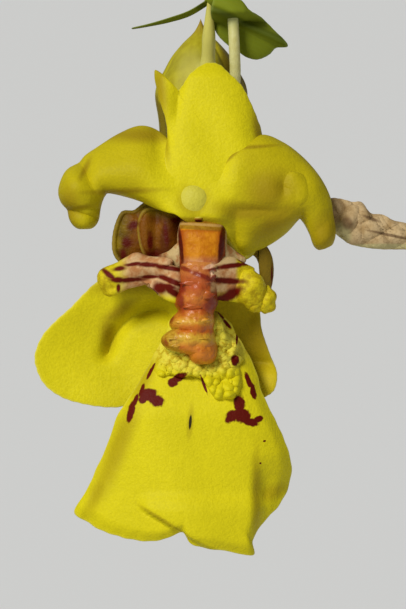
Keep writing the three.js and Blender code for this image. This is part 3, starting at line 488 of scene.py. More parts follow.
# the leaf's outline, as shares of its length along and across, and its half thickness
LEAF_KEEL = [(-0.10, 0.0), (0.12, 0.165), (0.42, 0.345), (0.68, 0.465), (0.87, 0.535)]
LEAF_INNER = [(-0.10, 0.0), (0.12, -0.005), (0.32, 0.0), (0.60, 0.215), (0.87, 0.535)]
LEAF_HALF = [(0.0,), (1.25,), (1.55,), (0.62,), (0.0,)]
LEAF_EDGE = 0.13  # half thickness at the keel
LEAF_ROWS = 10
LEAF_COLUMNS = 4
LEAF_SEED = 100
SPINE_POINTS = 12


def smoothstep(low, high, x):
    """0 up to low and 1 from high on, and between them 3 s^2 - 2 s^3 of the share of the way; low
    may be the larger of the two."""
    s = np.clip((x - low) / (high - low), 0, 1)
    return s * s * (3 - 2 * s)


def leaf_length(share):
    """Short at the foot, full from three tenths up, and shorter again over the last quarter."""
    grow = 0.35 + 0.65 * smoothstep(0, 0.3, share)
    return LEAF_LENGTH * grow * (1 - 0.4 * smoothstep(0.75, 1, share))


class StemLine:
    """A cubic Bezier curve measured by its length, with its own directions at every place: along
    it, across the flat of its leaves, and out of that flat."""

    def __init__(self, path, facing):
        self.path = np.asarray(path, float)
        self.facing = np.asarray(facing, float)
        self.t = np.linspace(0, 1, 400)
        steps = np.linalg.norm(np.diff(self.curve(self.t), axis=0), axis=1)
        self.run = np.concatenate([[0], np.cumsum(steps)])
        self.length = self.run[-1]

    def curve(self, t):
        """The Bezier curve's place, its four points weighed by the cubic's own shares."""
        t = t[..., None]
        p, q, r, s = self.path
        return (1 - t) ** 3 * p + 3 * (1 - t) ** 2 * t * q + 3 * (1 - t) * t**2 * r + t**3 * s

    def slope(self, t):
        """A third of the curve's derivative, which has its direction."""
        t = t[..., None]
        p, q, r, s = self.path
        return (1 - t) ** 2 * (q - p) + 2 * (1 - t) * t * (r - q) + t**2 * (s - r)

    def place(self, along, across, out):
        """The point that far along, across and out; past its end the curve runs on straight."""
        t = np.interp(along, self.run, self.t)
        ahead = self.slope(t)
        ahead /= np.linalg.norm(ahead, axis=-1, keepdims=True)
        normal = self.facing - (ahead @ self.facing)[..., None] * ahead
        normal /= np.linalg.norm(normal, axis=-1, keepdims=True)
        side = np.cross(normal, ahead)
        past = (np.maximum(along - self.length, 0) + np.minimum(along, 0))[..., None]
        return self.curve(t) + past * ahead + across[..., None] * side + out[..., None] * normal


def leaves(line, rng):
    """One folded leaf for each node: rows run from base to tip between the leaf's inner edge and
    its keel, columns go out over one face and back over the other, and the half thickness
    falls off from the clasping sheath to the keel. marks are (row share, column share, tint).
    The leaves of one row are the other's mirrored, so there the two faces change places, and all
    of them still look outwards."""
    count = 2 * int(line.length // (2 * NODE_SPACING))
    start = (np.arange(count) * line.length / count)[:, None, None]
    share = start / line.length
    side = np.where(np.arange(count) % 2 == 0, 1.0, -1.0)[:, None, None]
    length = leaf_length(share) * (1 + 0.04 * rng.normal(size=share.shape))
    spread = 1 - 0.6 * smoothstep(0.8, 1, share)
    u = np.linspace(0, 1, LEAF_ROWS)
    v = np.linspace(0, 1, LEAF_COLUMNS)
    inner, keel = spline(LEAF_INNER, u)[:, None], spline(LEAF_KEEL, u)[:, None]
    flat = inner + (keel - inner) * v[None, :, None]
    fall = (1 - v) ** 1.4
    edge = LEAF_EDGE * np.sin(np.pi * u) ** 0.4
    half = edge[:, None] + np.maximum(spline(LEAF_HALF, u) - edge[:, None], 0) * fall[None]
    half = half * (1 - 0.45 * share)
    lean = 0.9 * rng.normal(size=share.shape) * smoothstep(0.3, 0.87, flat[None, ..., 0])
    along = start + flat[None, ..., 0] * length
    across = side * flat[None, ..., 1] * length * spread
    skins = [line.place(along, across, lean + turn * side * half) for turn in (1, -1)]
    points = np.concatenate([skins[0], skins[1][:, :, ::-1]], axis=2)
    tint = np.broadcast_to(rng.random(share.shape), along.shape)
    one = np.stack([*np.broadcast_arrays(u[:, None], v[None], tint)], -1)
    marks = np.concatenate([one, one[:, :, ::-1]], axis=2)
    return count, points, marks


def leaf_finish():
    """Leathery green, with fine veins along the leaf, a paler keel and edge, and old tips that
    have browned."""
    finish, start, skin = new_finish("leaf", Specular_IOR_Level=0.45)
    u, v, tint = start.attribute("leaf").parts()
    place = start.object_place()
    cloud = place.noise(120.0, 3.0)
    green = tint.blend((0.085, 0.175, 0.022), (0.15, 0.27, 0.045))
    green = cloud.between(0.35, 0.7).blend(green, (0.13, 0.22, 0.03))
    veins = (v * 120.0).sine()
    pale = v.between(0.9, 1.0).larger(v.between(0.08, 0.0) * 0.8)
    green = (pale * 0.6).blend(green, (0.30, 0.42, 0.11))
    tip = u.between(0.93, 1.0) * tint.between(0.75, 0.85)
    green = tip.blend(green, (0.25, 0.15, 0.06))
    green.feed(skin, "Base Color")
    (cloud.between(0.3, 0.7) * 0.14 + 0.34).feed(skin, "Roughness")
    roughen(veins * 0.5 + place.noise(900.0, 2.0), skin, 0.25, 0.0002)
    return finish


green_leaf = leaf_finish()
for number, (path, facing) in enumerate(STEMS, start=1):
    line = StemLine(path, facing)
    count, points, marks = leaves(line, np.random.default_rng(LEAF_SEED + number))
    leaf_faces = copies_faces(count, LEAF_ROWS, 2 * LEAF_COLUMNS, wrap=True)
    middle = np.zeros(SPINE_POINTS)
    spine = line.place(np.linspace(0, line.length, SPINE_POINTS), middle, middle)
    core_points, core_faces = tube(spine, lambda s: STEM_RADIUS * (1 - 0.4 * s), 10, 60, facing)
    leaf_points = points.reshape(-1, 3)
    whole = joined([(leaf_points, outward(leaf_points, leaf_faces)), (core_points, core_faces)])
    marks = np.concatenate([marks.reshape(-1, 3), np.full_like(core_points, 0.4)])
    name = f"leafy_stem_{number}"
    put(name, *whole, green_leaf, "leaf", [name], {"leaf": marks})

# Flower stalks: a thin green stalk leaves its leafy stem near the tip, arches over and ends in
# the bracts from which the blooms hang. The main one ends in two bracts above the bloom.
BLOOM_CENTRE = np.array([80, -22, 182])
BLOOM_TILT = np.radians(8)
STALK_END = (0.6, 1.7, 12.5)
BRACT_RIGHT = [
    (0.55, 11.6), (0.95, 12.5), (2.0, 12.1), (2.5, 11.55), (3.25, 11.15), (3.8, 10.6),
    (4.45, 9.85), (3.85, 9.75), (3.5, 9.4), (2.9, 9.15), (2.4, 9.25), (2.0, 9.5), (1.4, 9.9),
    (0.9, 10.4), (0.65, 11.0)]
RIDGE_TOP = 11.85  # height of the right bract's ridge at x = 0
RIDGE_FALL = 0.42  # and how far it falls for each millimetre to the right
BRACT_LEFT = [
    (0.6, 12.3, 0.7, 12.1), (-0.5, 11.6, -0.45, 11.38), (-1.6, 11.2, -1.55, 11.03),
    (-2.6, 10.9, -2.6, 10.82), (-3.45, 10.7, -3.45, 10.68)]
TURN_BACK = np.array([
    [1, 0, 0],
    [0, np.cos(BLOOM_TILT), np.sin(BLOOM_TILT)],
    [0, -np.sin(BLOOM_TILT), np.cos(BLOOM_TILT)]])


def main_seat(points):
    """From the main bloom's frame, where -Y looks at the viewer, to the plant's."""
    return points @ TURN_BACK.T + BLOOM_CENTRE


def normals(grid, wrap):
    """Across each point's two grid directions; the first row of a wrapped grid is its centre."""
    across = np.gradient(grid, axis=1)
    if wrap:
        across = np.roll(grid, -1, axis=1) - np.roll(grid, 1, axis=1)
    normal = np.cross(np.gradient(grid, axis=0), across)
    if wrap:
        normal[0] = normal[1].mean(axis=0)
    return normal / np.maximum(np.linalg.norm(normal, axis=-1, keepdims=True), 1e-12)


def blade(outline, centre, depth, detail, thickness=0.3):
    """A thin blade: rays from its centre to a closed outline in X and Z, whose rim swells a little
    with sine waves, Y from depth(x, z, r) with r the share of the way out, thinning to nothing
    at the edge. Returns points, faces, spans."""
    rings, sectors = int(56 * detail), int(260 * detail)
    r = np.sin(np.linspace(0, np.pi / 2, rings))[:, None]
    t = np.linspace(0, 1, sectors, endpoint=False)
    rim = spline(outline, t, closed=True)
    swell = 1 + 0.006 * np.sin(2 * np.pi * 23 * t) * np.sin(2 * np.pi * 14 * t + 1)
    x = centre[0] + (rim[:, 0] - centre[0]) * r * swell
    z = centre[1] + (rim[:, 1] - centre[1]) * r * swell
    share = np.broadcast_to(r, x.shape)
    grid = np.stack([x, depth(x, z, share), z], -1)
    half = thickness / 2 * np.sqrt(1 - r**8)[..., None] * normals(grid, wrap=True)
    points = np.concatenate([grid + half, (grid - half)[::-1]])
    turn = np.broadcast_to(np.linspace(0, 1, sectors), x.shape)
    span = np.stack([share, turn, share], -1)
    points = points.reshape(-1, 3)
    faces = grid_faces(2 * rings, sectors, wrap=True)
    return points, outward(points, faces), np.concatenate([span, span[::-1]]).reshape(-1, 3)


def strap(stations, depths, detail, thickness=0.3, change=lambda x, z, y: y):
    """A thin strap lofted through stations of x, z of its two edges, where the share across is
    (1 - cos(pi s)) / 2. Y is a spline both ways through a table of depths, which change(x, z, y)
    may then move. The thickness falls to nothing at the ends and sides, as a high power."""
    rows, columns = int(150 * detail), int(90 * detail)
    t = np.linspace(0, 1, rows)
    s = np.linspace(0, 1, columns)
    edges = spline(stations, t)[:, None]
    across = ((1 - np.cos(np.pi * s)) / 2)[None, :, None]
    flat = edges[..., :2] + (edges[..., 2:] - edges[..., :2]) * across
    table = np.asarray(depths, float)
    y = change(flat[..., 0], flat[..., 1], spline(spline(table, t).T, s).T)
    grid = np.stack([flat[..., 0], y, flat[..., 1]], -1)
    ends = np.sqrt(1 - np.abs(2 * t - 1) ** 12)[:, None]
    sides = np.sqrt(1 - np.abs(2 * s - 1) ** 8)[None]
    half = thickness / 2 * (ends * sides)[..., None] * normals(grid, wrap=False)
    points = np.concatenate([grid + half, (grid - half)[:, ::-1]], axis=1)
    span = np.stack(np.broadcast_arrays(t[:, None], s[None], np.abs(2 * s - 1)[None]), -1)
    points = points.reshape(-1, 3)
    span = np.concatenate([span, span[:, ::-1]], axis=1).reshape(-1, 3)
    return points, outward(points, grid_faces(rows, 2 * columns, wrap=True)), span


def balls(rows, detail, uneven=0.0):
    """Rounded lumps, each (x, y, z) of its middle and its three half sizes; uneven makes every
    radius swell and shrink with sine waves of its direction."""
    rows = np.asarray(rows, float)
    rings, sides = int(22 * detail) + 5, int(30 * detail) + 6
    grid = lumps(len(rows), rings, sides, 1.0)
    phase = np.arange(len(rows))[:, None, None]
    x, z = grid[..., 0], grid[..., 2]
    wave = np.sin(4.1 * x + phase) * np.sin(5.3 * z + 2 * phase) + 0.5 * np.sin(9 * x * z)
    middle, half = rows[:, None, None, :3], rows[:, None, None, 3:]
    grid = grid * (1 + uneven * wave)[..., None] * half + middle
    points = grid.reshape(-1, 3)
    faces = outward(points, copies_faces(len(rows), rings, sides, wrap=True))
    return points, faces, np.full_like(points, 0.5)


def together(meshes):
    """Several (points, faces, spans) as one."""
    points, faces = joined([mesh[:2] for mesh in meshes])
    return points, faces, np.concatenate([mesh[2] for mesh in meshes])


def hang(name, mesh, finish, slot, nodes, seat=main_seat):
    """Puts an organ made in a bloom's frame in its seat, and keeps that frame for its markings."""
    points, faces, span = mesh
    put(name, seat(points), faces, finish, slot, nodes, {"place": points, "span": span})


def place_of(start):
    """Place in a bloom's own frame, in millimetres, and the share along, across and to the rim."""
    return start.attribute("place"), start.attribute("span")


def stalk_finish():
    """Green stalk with a waxy bloom and faint ribs."""
    finish, start, skin = new_finish("stalk", Roughness=0.42)
    place = start.object_place()
    cloud = place.noise(300.0, 3.0)
    cloud.blend((0.16, 0.27, 0.06), (0.27, 0.36, 0.11)).feed(skin, "Base Color")
    roughen(place.noise(1500.0, 2.0), skin, 0.2, 0.0001)
    return finish


def bract_finish():
    """Thin green bract with veins that follow its midrib and a pale rim, darkened by painted shade
    along the fold at the midrib and lit by painted light on the halves above and below it.
    """
    finish, start, skin = new_finish("bract", Roughness=0.55, Specular_IOR_Level=0.02)
    place, span = place_of(start)
    x, _, z = place.parts()
    above = z - (RIDGE_TOP - x * RIDGE_FALL)
    rib = abs(above).between(0.16, 0.02)
    veins = abs((above * 13.0).sine()).between(0.75, 1.0)
    # painted light and shade: dark at the midrib fold, lighter above it, a little less below
    light = above.between(0.05, 0.3).larger(above.between(0.0, -0.35) * 0.8)
    green = light.blend((0.055, 0.07, 0.002), (0.17, 0.20, 0.012))
    green = (veins * 0.12).blend(green, (0.15, 0.20, 0.03))
    pale = rib * 0.15 + span.parts()[2].between(0.9, 0.99) * 0.3
    green = pale.blend(green, (0.26, 0.31, 0.07))
    green.feed(skin, "Base Color")
    return finish


def bract_depth(x, z, r):
    """Comes forward as it goes down, and again by a step above its middle; its rim is bent back
    with the square of r, and a narrow ridge stands along its midrib."""
    ridge = 0.35 * np.exp(-((z - RIDGE_TOP + RIDGE_FALL * x) / 0.2) ** 2)
    return 2.1 + 0.5 * r**2 - 0.15 * (12.5 - z) - ridge - 1.7 * smoothstep(11.0, 11.5, z)


stalks = [
    ("leafy_stem_1", [(58, -19, 226), (70, -21.5, 223), (78.5, -22, 214),
                      main_seat(np.array([0.6, 0.6, 18.5])), main_seat(np.array(STALK_END))]),
    ("leafy_stem_2", [(-27, 5, 218), (-40, 4, 222), (-50, 2, 216), (-52, 1, 207.3)]),
    ("leafy_stem_3", [(16, 44, 188), (22, 56, 196), (26, 64, 192), (27, 66, 183.3)]),
    ("leafy_stem_4", [(-58, -32, 148), (-68, -41, 153), (-75, -46, 147), (-76, -47, 138.3)]),
]
green_stalk = stalk_finish()
for number, (stem, path) in enumerate(stalks, start=1):
    helper = (0, 1, 0) if number != 3 else (1, 0, 0)  # a direction the stalk never runs along
    stalk = tube(path, lambda s: 0.8 - 0.35 * s, 16, 80, helper)
    put(f"flower_stalk_{number}", *stalk, green_stalk, "leaf", [stem])
green_bract = bract_finish()
right_bract = blade(BRACT_RIGHT, (2.3, 10.6), bract_depth, 0.6, 0.16)
left_bract = strap(BRACT_LEFT, [[1.5, 1.7, 1.9]] * 3, 0.4, 0.06)
node = balls([(0.75, 1.9, 12.3, 0.55, 0.7, 0.6)], 0.5)
hang("bracts", together([right_bract, left_bract, node]), green_bract, "leaf", ["leafy_stem_1"])

# Pedicels: each bloom hangs on its own cream stalk, which swells into the ovary behind it.
PEDICEL = [
    (1.62, 1.15, 11.7), (1.72, 1.1, 9.8), (1.74, 1.5, 7.8), (1.3, 2.35, 5.0), (0.6, 2.45, 3.2),
    (0, 2.2, 1.2)]


def pedicel_finish():
    """Cream stalk with fine ribs, greener and darker at its top end: its own green there, partly
    painted shade under the bracts.
    """
    finish, start, skin = new_finish("pedicel", Roughness=0.48)
    place, _ = place_of(start)
    cloud = place.noise(2.2, 4.0)
    cream = cloud.between(0.35, 0.65).blend((0.53, 0.48, 0.15), (0.60, 0.56, 0.22))
    # greener and darker at the top end: the stalk's own green, partly painted shade
    place.parts()[2].between(10.2, 11.6).blend(cream, (0.42, 0.45, 0.15)).feed(skin, "Base Color")
    roughen(place.noise(14.0, 3.0), skin, 0.3, 0.00008)
    return finish


def plain_tube(path, radius, sides, steps):
    """A tube in a bloom's frame, with the plain span that marks a place far from any rim."""
    points, faces = tube(path, radius, sides, steps, (0, 1, 0))
    return points, faces, np.full_like(points, 0.5)


def pedicel_mesh(detail):
    """A tube that swells into the ovary by a smooth step, from 0.45 to 0.8 of its way down."""
    return plain_tube(PEDICEL, lambda s: 0.27 + 0.03 * s + 0.25 * smoothstep(0.45, 0.8, s),
                      18, int(90 * detail) + 6)


cream = pedicel_finish()
hang("bloom_pedicel", pedicel_mesh(1), cream, "pedicel", ["bloom_pedicel"])

# Dorsal sepal: a thin yellow blade that stands over the column like a hood. Its left margin is
# turned forward into a narrow flap with a corner, and its foot comes forward over the petals.
HOOD = [
    (-0.9, 2.3), (-1.5, 3.0), (-1.75, 4.0), (-1.62, 5.2), (-1.75, 6.1), (-2.05, 7.1), (-2.28, 8.5),
    (-1.72, 8.15), (-1.32, 7.62), (-1.1, 7.5), (-0.85, 7.75), (-0.45, 8.35), (0.25, 8.85),
    (0.95, 8.8), (1.45, 8.35), (2.05, 7.75), (2.5, 6.95), (2.85, 6.1), (3.1, 5.2), (2.9, 4.1),
    (2.0, 3.0), (0.5, 2.1)]


def ellipses(place, rows):
    """How far out a place is from the nearest of some ellipses, 1 on its edge. Each row gives an
    ellipse's middle (x, z), half width, half height and turn in degrees."""
    nearest = None
    for x, z, wide, high, turn in rows:
        inside = place.node("ShaderNodeMapping", {"vector_type": "TEXTURE"}, {
            "Vector": place, "Location": (x, 0, z), "Rotation": (0, -np.radians(turn), 0),
            "Scale": (wide, 1000, high)})
        reach = inside.node("ShaderNodeVectorMath", {"operation": "LENGTH"}, {0: inside}, out=1)
        nearest = reach if nearest is None else nearest.maths("MINIMUM", nearest, reach)
    return nearest


def ragged(place, rows, cloud, sway, low, high):
    """A marking with an uneven edge: what ellipses() gives, moved by a cloudy noise times sway,
    runs smoothly from 0 at low to 1 at high, which is the smaller of the two."""
    return (ellipses(place, rows) + (cloud - 0.5) * sway).between(low, high)


def yellow_skin(place, skin, cloud_scale, deep, bright):
    """The colour and bump that sepals, petals and lip share: fine cells and a cloudy tone, six
    parts to four, between a deep and a bright yellow."""
    cells = place.noise(9.0, 2.0, 0.6)
    cloud = place.noise(cloud_scale, 3.0)
    roughen(cells * 0.8 + place.noise(3.0, 3.0), skin, 0.35, 0.00010)
    return (cells.between(0.3, 0.7) * 0.6 + cloud.between(0.3, 0.7) * 0.4).blend(deep, bright)


def dimmed(colour, share):
    """That share of a colour's light."""
    return tuple(share * value for value in colour)


YELLOW = (0.68, 0.585, 0.006)
# painted shade: the darker golden tone of the petals' outer parts
GOLDEN_SHADE = (0.52, 0.425, 0.004)
# painted shade: olive in folds and creases, and round the lip's slit
OLIVE_SHADE = (0.27, 0.175, 0.004)
PALE_RIM = (0.70, 0.66, 0.16)
DARK_RED = (0.105, 0.005, 0.001)


def tepal_finish(name, painted_fold_shade, far=YELLOW):
    """Yellow petal skin: another tone far from the flower's middle, which is painted shade where
    it is darker than YELLOW, a pale thin rim, and painted olive shade in folds and creases, given
    as rows for ellipses()."""
    finish, start, skin = new_finish(name, Roughness=0.55, Specular_IOR_Level=0.1)
    place, span = place_of(start)
    away = ellipses(place, [(-0.3, 2.9, 3.1, 3.9, 0)]).between(0.45, 1.0)
    deep = away.blend(dimmed(YELLOW, 0.84), dimmed(far, 0.84))
    colour = yellow_skin(place, skin, 0.55, deep, away.blend(YELLOW, far))
    colour = (span.parts()[2].between(0.97, 1.0) * 0.3).blend(colour, PALE_RIM)
    # painted shade: olive in the folds and creases
    shade = ragged(place, painted_fold_shade, place.noise(0.8, 2.0), 0.5, 2.0, 0.2)
    (shade * 0.75).blend(colour, OLIVE_SHADE).feed(skin, "Base Color")
    return finish


def hood_depth(x, z, r):
    """Leans back as it rises, with its margins turned back, its tip bent away, and the left flap
    forward of a valley."""
    flap = smoothstep(-1.0, -2.1, x) * smoothstep(4.5, 6.5, z)
    valley = np.exp(-((x + 1.2 - 0.12 * (z - 6)) / 0.3) ** 2) * smoothstep(5, 7, z)
    hollow = 0.9 * (np.abs(x - 0.45) / 2.5) ** 4 * smoothstep(3.2, 5.5, z)
    tip = 0.5 * smoothstep(8.0, 9.0, z)
    uneven = 0.04 * np.sin(2.1 * x + 1.3 * z)
    return -1.1 + 0.2 * (z - 4) + hollow + tip - 0.6 * flap + 0.16 * valley + uneven


def hood_mesh(detail):
    """The hood as one blade."""
    return blade(HOOD, (0.4, 5.4), hood_depth, detail)


# painted shade: olive along the left margin, the right margin and on the flap
hood_finish = tepal_finish("dorsal_sepal", painted_fold_shade=[
    (-1.8, 5.4, 0.15, 1.2, 8), (2.95, 5.2, 0.2, 0.9, 12), (-2.0, 7.6, 0.3, 1.3, 5)])
hang("bloom_dorsal_sepal", hood_mesh(1), hood_finish, "petal", ["bloom_dorsal_sepal"])

# Petals: two fleshy yellow straps, rolled back along both edges. The left one ends in a round
# knob with a small foot. The right one has a wide lower sheet, a cuff and a longer foot.
PETAL_LEFT = [
    (0.6, 3.0, 0.6, 0.8), (-0.3, 3.7, -0.4, 0.85), (-1.2, 4.6, -1.3, 1.3),
    (-2.1, 5.35, -2.3, 1.75), (-3.0, 5.62, -3.0, 2.08), (-4.05, 5.2, -4.0, 2.38),
    (-5.1, 4.52, -4.65, 2.48),
    (-5.65, 4.15, -4.9, 2.25), (-5.98, 3.78, -5.02, 2.0), (-6.6, 3.38, -5.1, 1.72),
    (-6.92, 2.6, -5.15, 1.45), (-6.85, 2.05, -5.17, 1.3), (-6.52, 1.62, -5.2, 1.15),
    (-6.38, 1.1, -5.28, 0.95), (-6.15, 0.78, -5.42, 0.78), (-5.85, 0.66, -5.62, 0.66)]
PETAL_LEFT_DEPTHS = [
    [-0.6, -0.9, -1.1, -1.2, -1.0, -0.6],
    [0.0, -0.5, -1.05, -1.3, -1.1, -0.6],
    [0.6, 0.0, -0.85, -1.35, -1.2, -0.5],
    [0.9, 0.2, -0.65, -1.35, -1.2, -0.2],
    [1.0, 0.3, -0.7, -1.35, -1.0, 0.1],
    [0.9, 0.2, -0.6, -1.2, -0.9, 0.2],
    [0.8, 0.1, -0.6, -1.0, -0.7, 0.2],
    [0.8, 0.15, -0.55, -0.9, -0.6, 0.2],
    [0.9, 0.25, -0.45, -0.8, -0.5, 0.25],
    [0.7, -0.2, -0.85, -0.95, -0.45, 0.3],
    [0.6, -0.35, -0.9, -0.9, -0.35, 0.3],
    [0.6, -0.25, -0.7, -0.7, -0.25, 0.35],
    [0.75, 0.0, -0.3, -0.35, -0.05, 0.4],
    [0.6, -0.15, -0.45, -0.45, -0.1, 0.45],
    [0.6, 0.0, -0.3, -0.3, 0.0, 0.5],
    [0.6, 0.3, 0.2, 0.2, 0.3, 0.6]]
PETAL_RIGHT = [
    (-0.3, 2.9, -0.3, 0.85), (0.5, 3.1, 0.45, 0.8), (1.0, 3.6, 1.0, 0.5),
    (1.75, 4.35, 1.6, -0.35), (3.0, 5.14, 2.1, -0.92), (4.1, 4.8, 3.1, -0.35),
    (5.07, 4.05, 4.15, 0.4), (5.85, 3.12, 4.9, 1.2), (6.35, 2.15, 5.28, 1.0),
    (6.5, 1.25, 5.64, 0.35), (6.63, 0.4, 5.84, -0.2), (6.52, -0.28, 6.1, -0.42)]
PETAL_RIGHT_DEPTHS = [
    [-0.8, -1.1, -1.2, -1.25, -1.1, -0.9, -0.6],
    [-0.9, -1.15, -1.3, -1.35, -1.2, -0.9, -0.6],
    [-0.9, -1.2, -1.4, -1.4, -1.1, -0.7, -0.5],
    [-0.7, -1.1, -1.45, -1.4, -0.8, -0.3, -0.5],
    [0.3, -0.6, -1.2, -1.4, -0.8, 0.1, -0.2],
    [0.8, -0.3, -1.0, -1.4, -0.8, 0.3, 0.5],
    [0.8, -0.2, -0.8, -1.2, -0.9, 0.0, 0.8],
    [0.7, -0.2, -0.8, -1.0, -0.9, -0.2, 0.6],
    [0.7, -0.1, -0.5, -0.7, -0.6, -0.1, 0.6],
    [0.7, 0.0, -0.3, -0.4, -0.3, 0.0, 0.6],
    [0.8, 0.2, -0.2, -0.3, -0.2, 0.2, 0.7],
    [0.9, 0.5, 0.3, 0.3, 0.3, 0.5, 0.9]]
CUFF = [
    (4.05, 2.85), (4.2, 3.2), (4.6, 3.38), (5.15, 3.22), (5.55, 2.9), (5.8, 2.35), (5.7, 1.8),
    (5.3, 1.35), (4.85, 1.15), (4.4, 1.3), (4.3, 1.85), (4.25, 2.4)]


def cuff_depth(x, z, r):
    """Stands free at its left edge, and runs into the petal behind it at its right one."""
    right = 0.75 * smoothstep(4.6, 5.8, x) * r**2
    return -1.25 + 0.2 * r**2 + right + 0.3 * smoothstep(2.0, 1.2, z)


def dent(x, z, x0, z0, wide, high):
    """1 at a place, and falling away smoothly round it."""
    return np.exp(-(((x - x0) / wide) ** 2) - ((z - z0) / high) ** 2)


def meet(x, z, y, share):
    """Brings a petal's foot to the hood's face, just in front of it low down and just behind it
    higher up, so that the two run into each other."""
    face = hood_depth(x, z, 0) + 0.08 + 0.2 * smoothstep(2.6, 4.0, z)
    face = face + 0.5 * smoothstep(1.3, 0.6, z)
    return y + (face - y) * share


def petal_left_change(x, z, y):
    """Dents above the foot and beside the knob, a swelling on it, and the root in the hood."""
    y = y + 0.25 * dent(x, z, -6.2, 1.62, 0.8, 0.15) - 0.25 * dent(x, z, -6.3, 2.7, 0.6, 0.6)
    y = y + 0.2 * dent(x, z, -5.6, 3.5, 0.35, 0.7)
    return meet(x, z, y, smoothstep(-2.6, -1.1, x))


def petal_right_change(x, z, y):
    """A dent at the cuff, a long one in the lower sheet with a swelling under it, and the root in
    the hood."""
    y = y + 0.25 * dent(x, z, 4.1, 2.55, 0.35, 0.5) + 0.2 * dent(x, z, 2.9, 1.55, 1.3, 0.3)
    y = y - 0.3 * dent(x, z, 2.3, -0.2, 0.5, 0.4)
    return meet(x, z, y, smoothstep(1.9, 0.7, x))


def petal_left_mesh(detail):
    """The left petal as one strap."""
    return strap(PETAL_LEFT, PETAL_LEFT_DEPTHS, detail, 0.45, petal_left_change)


def petal_right_mesh(detail):
    """The right petal's strap, with its cuff as a blade in front."""
    body = strap(PETAL_RIGHT, PETAL_RIGHT_DEPTHS, detail, 0.45, petal_right_change)
    return together([body, blade(CUFF, (4.9, 2.3), cuff_depth, detail * 0.6, 0.3)])


# painted shade: golden outer parts, and olive in creases, by knob and cuff, on the lower sheet
petal_left_finish = tepal_finish("petal_left", far=GOLDEN_SHADE, painted_fold_shade=[
    (-2.9, 5.25, 1.6, 0.32, -2), (-6.1, 1.6, 0.5, 0.1, 8), (-4.0, 2.4, 1.6, 0.12, 2),
    (-5.75, 3.5, 0.12, 0.5, -25),
    (-6.6, 1.5, 0.5, 1.0, 0), (-0.6, 0.95, 0.6, 0.16, 0), (-0.3, 1.9, 0.6, 0.6, 0)])
petal_right_finish = tepal_finish("petal_right", far=GOLDEN_SHADE, painted_fold_shade=[
    (2.6, 1.4, 1.9, 0.42, -2), (2.3, 1.3, 1.3, 0.3, 0), (3.7, 0.9, 1.1, 0.5, 35),
    (1.45, 4.05, 0.7, 0.09, 42), (2.75, 4.62, 0.9, 0.08, 5), (4.05, 2.65, 0.1, 0.32, 5),
    (3.5, 2.4, 1.0, 0.8, 20), (6.2, 0.2, 0.6, 0.9, 0), (0.0, 0.95, 1.2, 0.16, 0),
    (-0.3, 1.9, 0.6, 0.6, 0)])
hang("bloom_petal_left", petal_left_mesh(1), petal_left_finish, "petal", ["bloom_petal_left"])
hang("bloom_petal_right", petal_right_mesh(1), petal_right_finish, "petal", ["bloom_petal_right"])

# Lateral sepals: two thin round blades behind the lip, slightly cupped, with a fold on the left
# one and a shaded margin on the right one.
SEPAL_LEFT = [
    (-0.4, -3.4), (-0.4, -1.7), (-1.4, -1.9), (-2.5, -2.0), (-3.75, -1.8), (-5.05, -2.05),
    (-5.8, -2.65), (-6.5, -3.4), (-7.25, -4.05), (-7.9, -4.8), (-8.3, -5.8), (-8.15, -6.6),
    (-7.7, -7.35), (-7.0, -7.85), (-6.1, -8.15), (-5.1, -8.35), (-4.0, -8.35), (-2.9, -8.0),
    (-2.0, -6.6), (-1.2, -5.0)]
SEPAL_RIGHT = [
    (0.3, -3.4), (0.3, -1.7), (1.4, -1.8), (2.8, -2.9), (3.1, -4.5), (3.5, -5.7), (3.85, -6.6),
    (3.75, -7.45), (3.2, -7.9), (2.5, -8.2), (1.6, -7.9), (1.0, -6.5), (0.6, -4.75)]


def sepal_left_depth(x, z, r):
    """Its rim comes forward with the square of r, a trough runs along part of an ellipse, as a
    bell curve across that ellipse's edge, and the whole blade waves a little."""
    bend = np.hypot((x + 2.2) / 2.5, (z + 6.4) / 2.9)
    trough = np.exp(-((bend - 1) / 0.16) ** 2) * smoothstep(-6.4, -5.6, z)
    trough = trough * smoothstep(-0.8, -1.6, x)
    return 1.0 - 0.5 * r**2 + 0.65 * trough + 0.05 * np.sin(1.4 * x + 0.9 * z)


def sepal_left_mesh(detail):
    """The left sepal as one blade."""
    return blade(SEPAL_LEFT, (-4.6, -5.2), sepal_left_depth, detail)


def sepal_right_depth(x, z, r):
    """Its lower half and its rim come forward, and a furrow crosses it as a bell curve of z."""
    furrow = 0.3 * np.exp(-((z + 6.2) / 0.4) ** 2)
    return 1.2 - 0.5 * smoothstep(-5.5, -7.5, z) - 0.4 * r**2 + furrow


def sepal_right_mesh(detail):
    """The right sepal as one blade."""
    return blade(SEPAL_RIGHT, (2.1, -5.4), sepal_right_depth, detail)


# painted shade: olive in the left sepal's trough and where the arms shade it
sepal_left_finish = tepal_finish("sepal_left", painted_fold_shade=[
    (-4.1, -3.6, 0.8, 0.25, 35), (-4.65, -4.7, 0.3, 0.75, -4), (-3.4, -2.2, 1.6, 0.35, 5)])
# painted shade: the right sepal's golden-brown tone and the olive on its upper part
sepal_right_finish = tepal_finish(
    "sepal_right", far=(0.56, 0.43, 0.006), painted_fold_shade=[(2.95, -5.0, 0.8, 1.2, -15)])
hang("bloom_lateral_sepal_left", sepal_left_mesh(0.75), sepal_left_finish, "petal",
     ["bloom_lateral_sepal_left"])
hang("bloom_lateral_sepal_right", sepal_right_mesh(0.75), sepal_right_finish, "petal",
     ["bloom_lateral_sepal_right"])

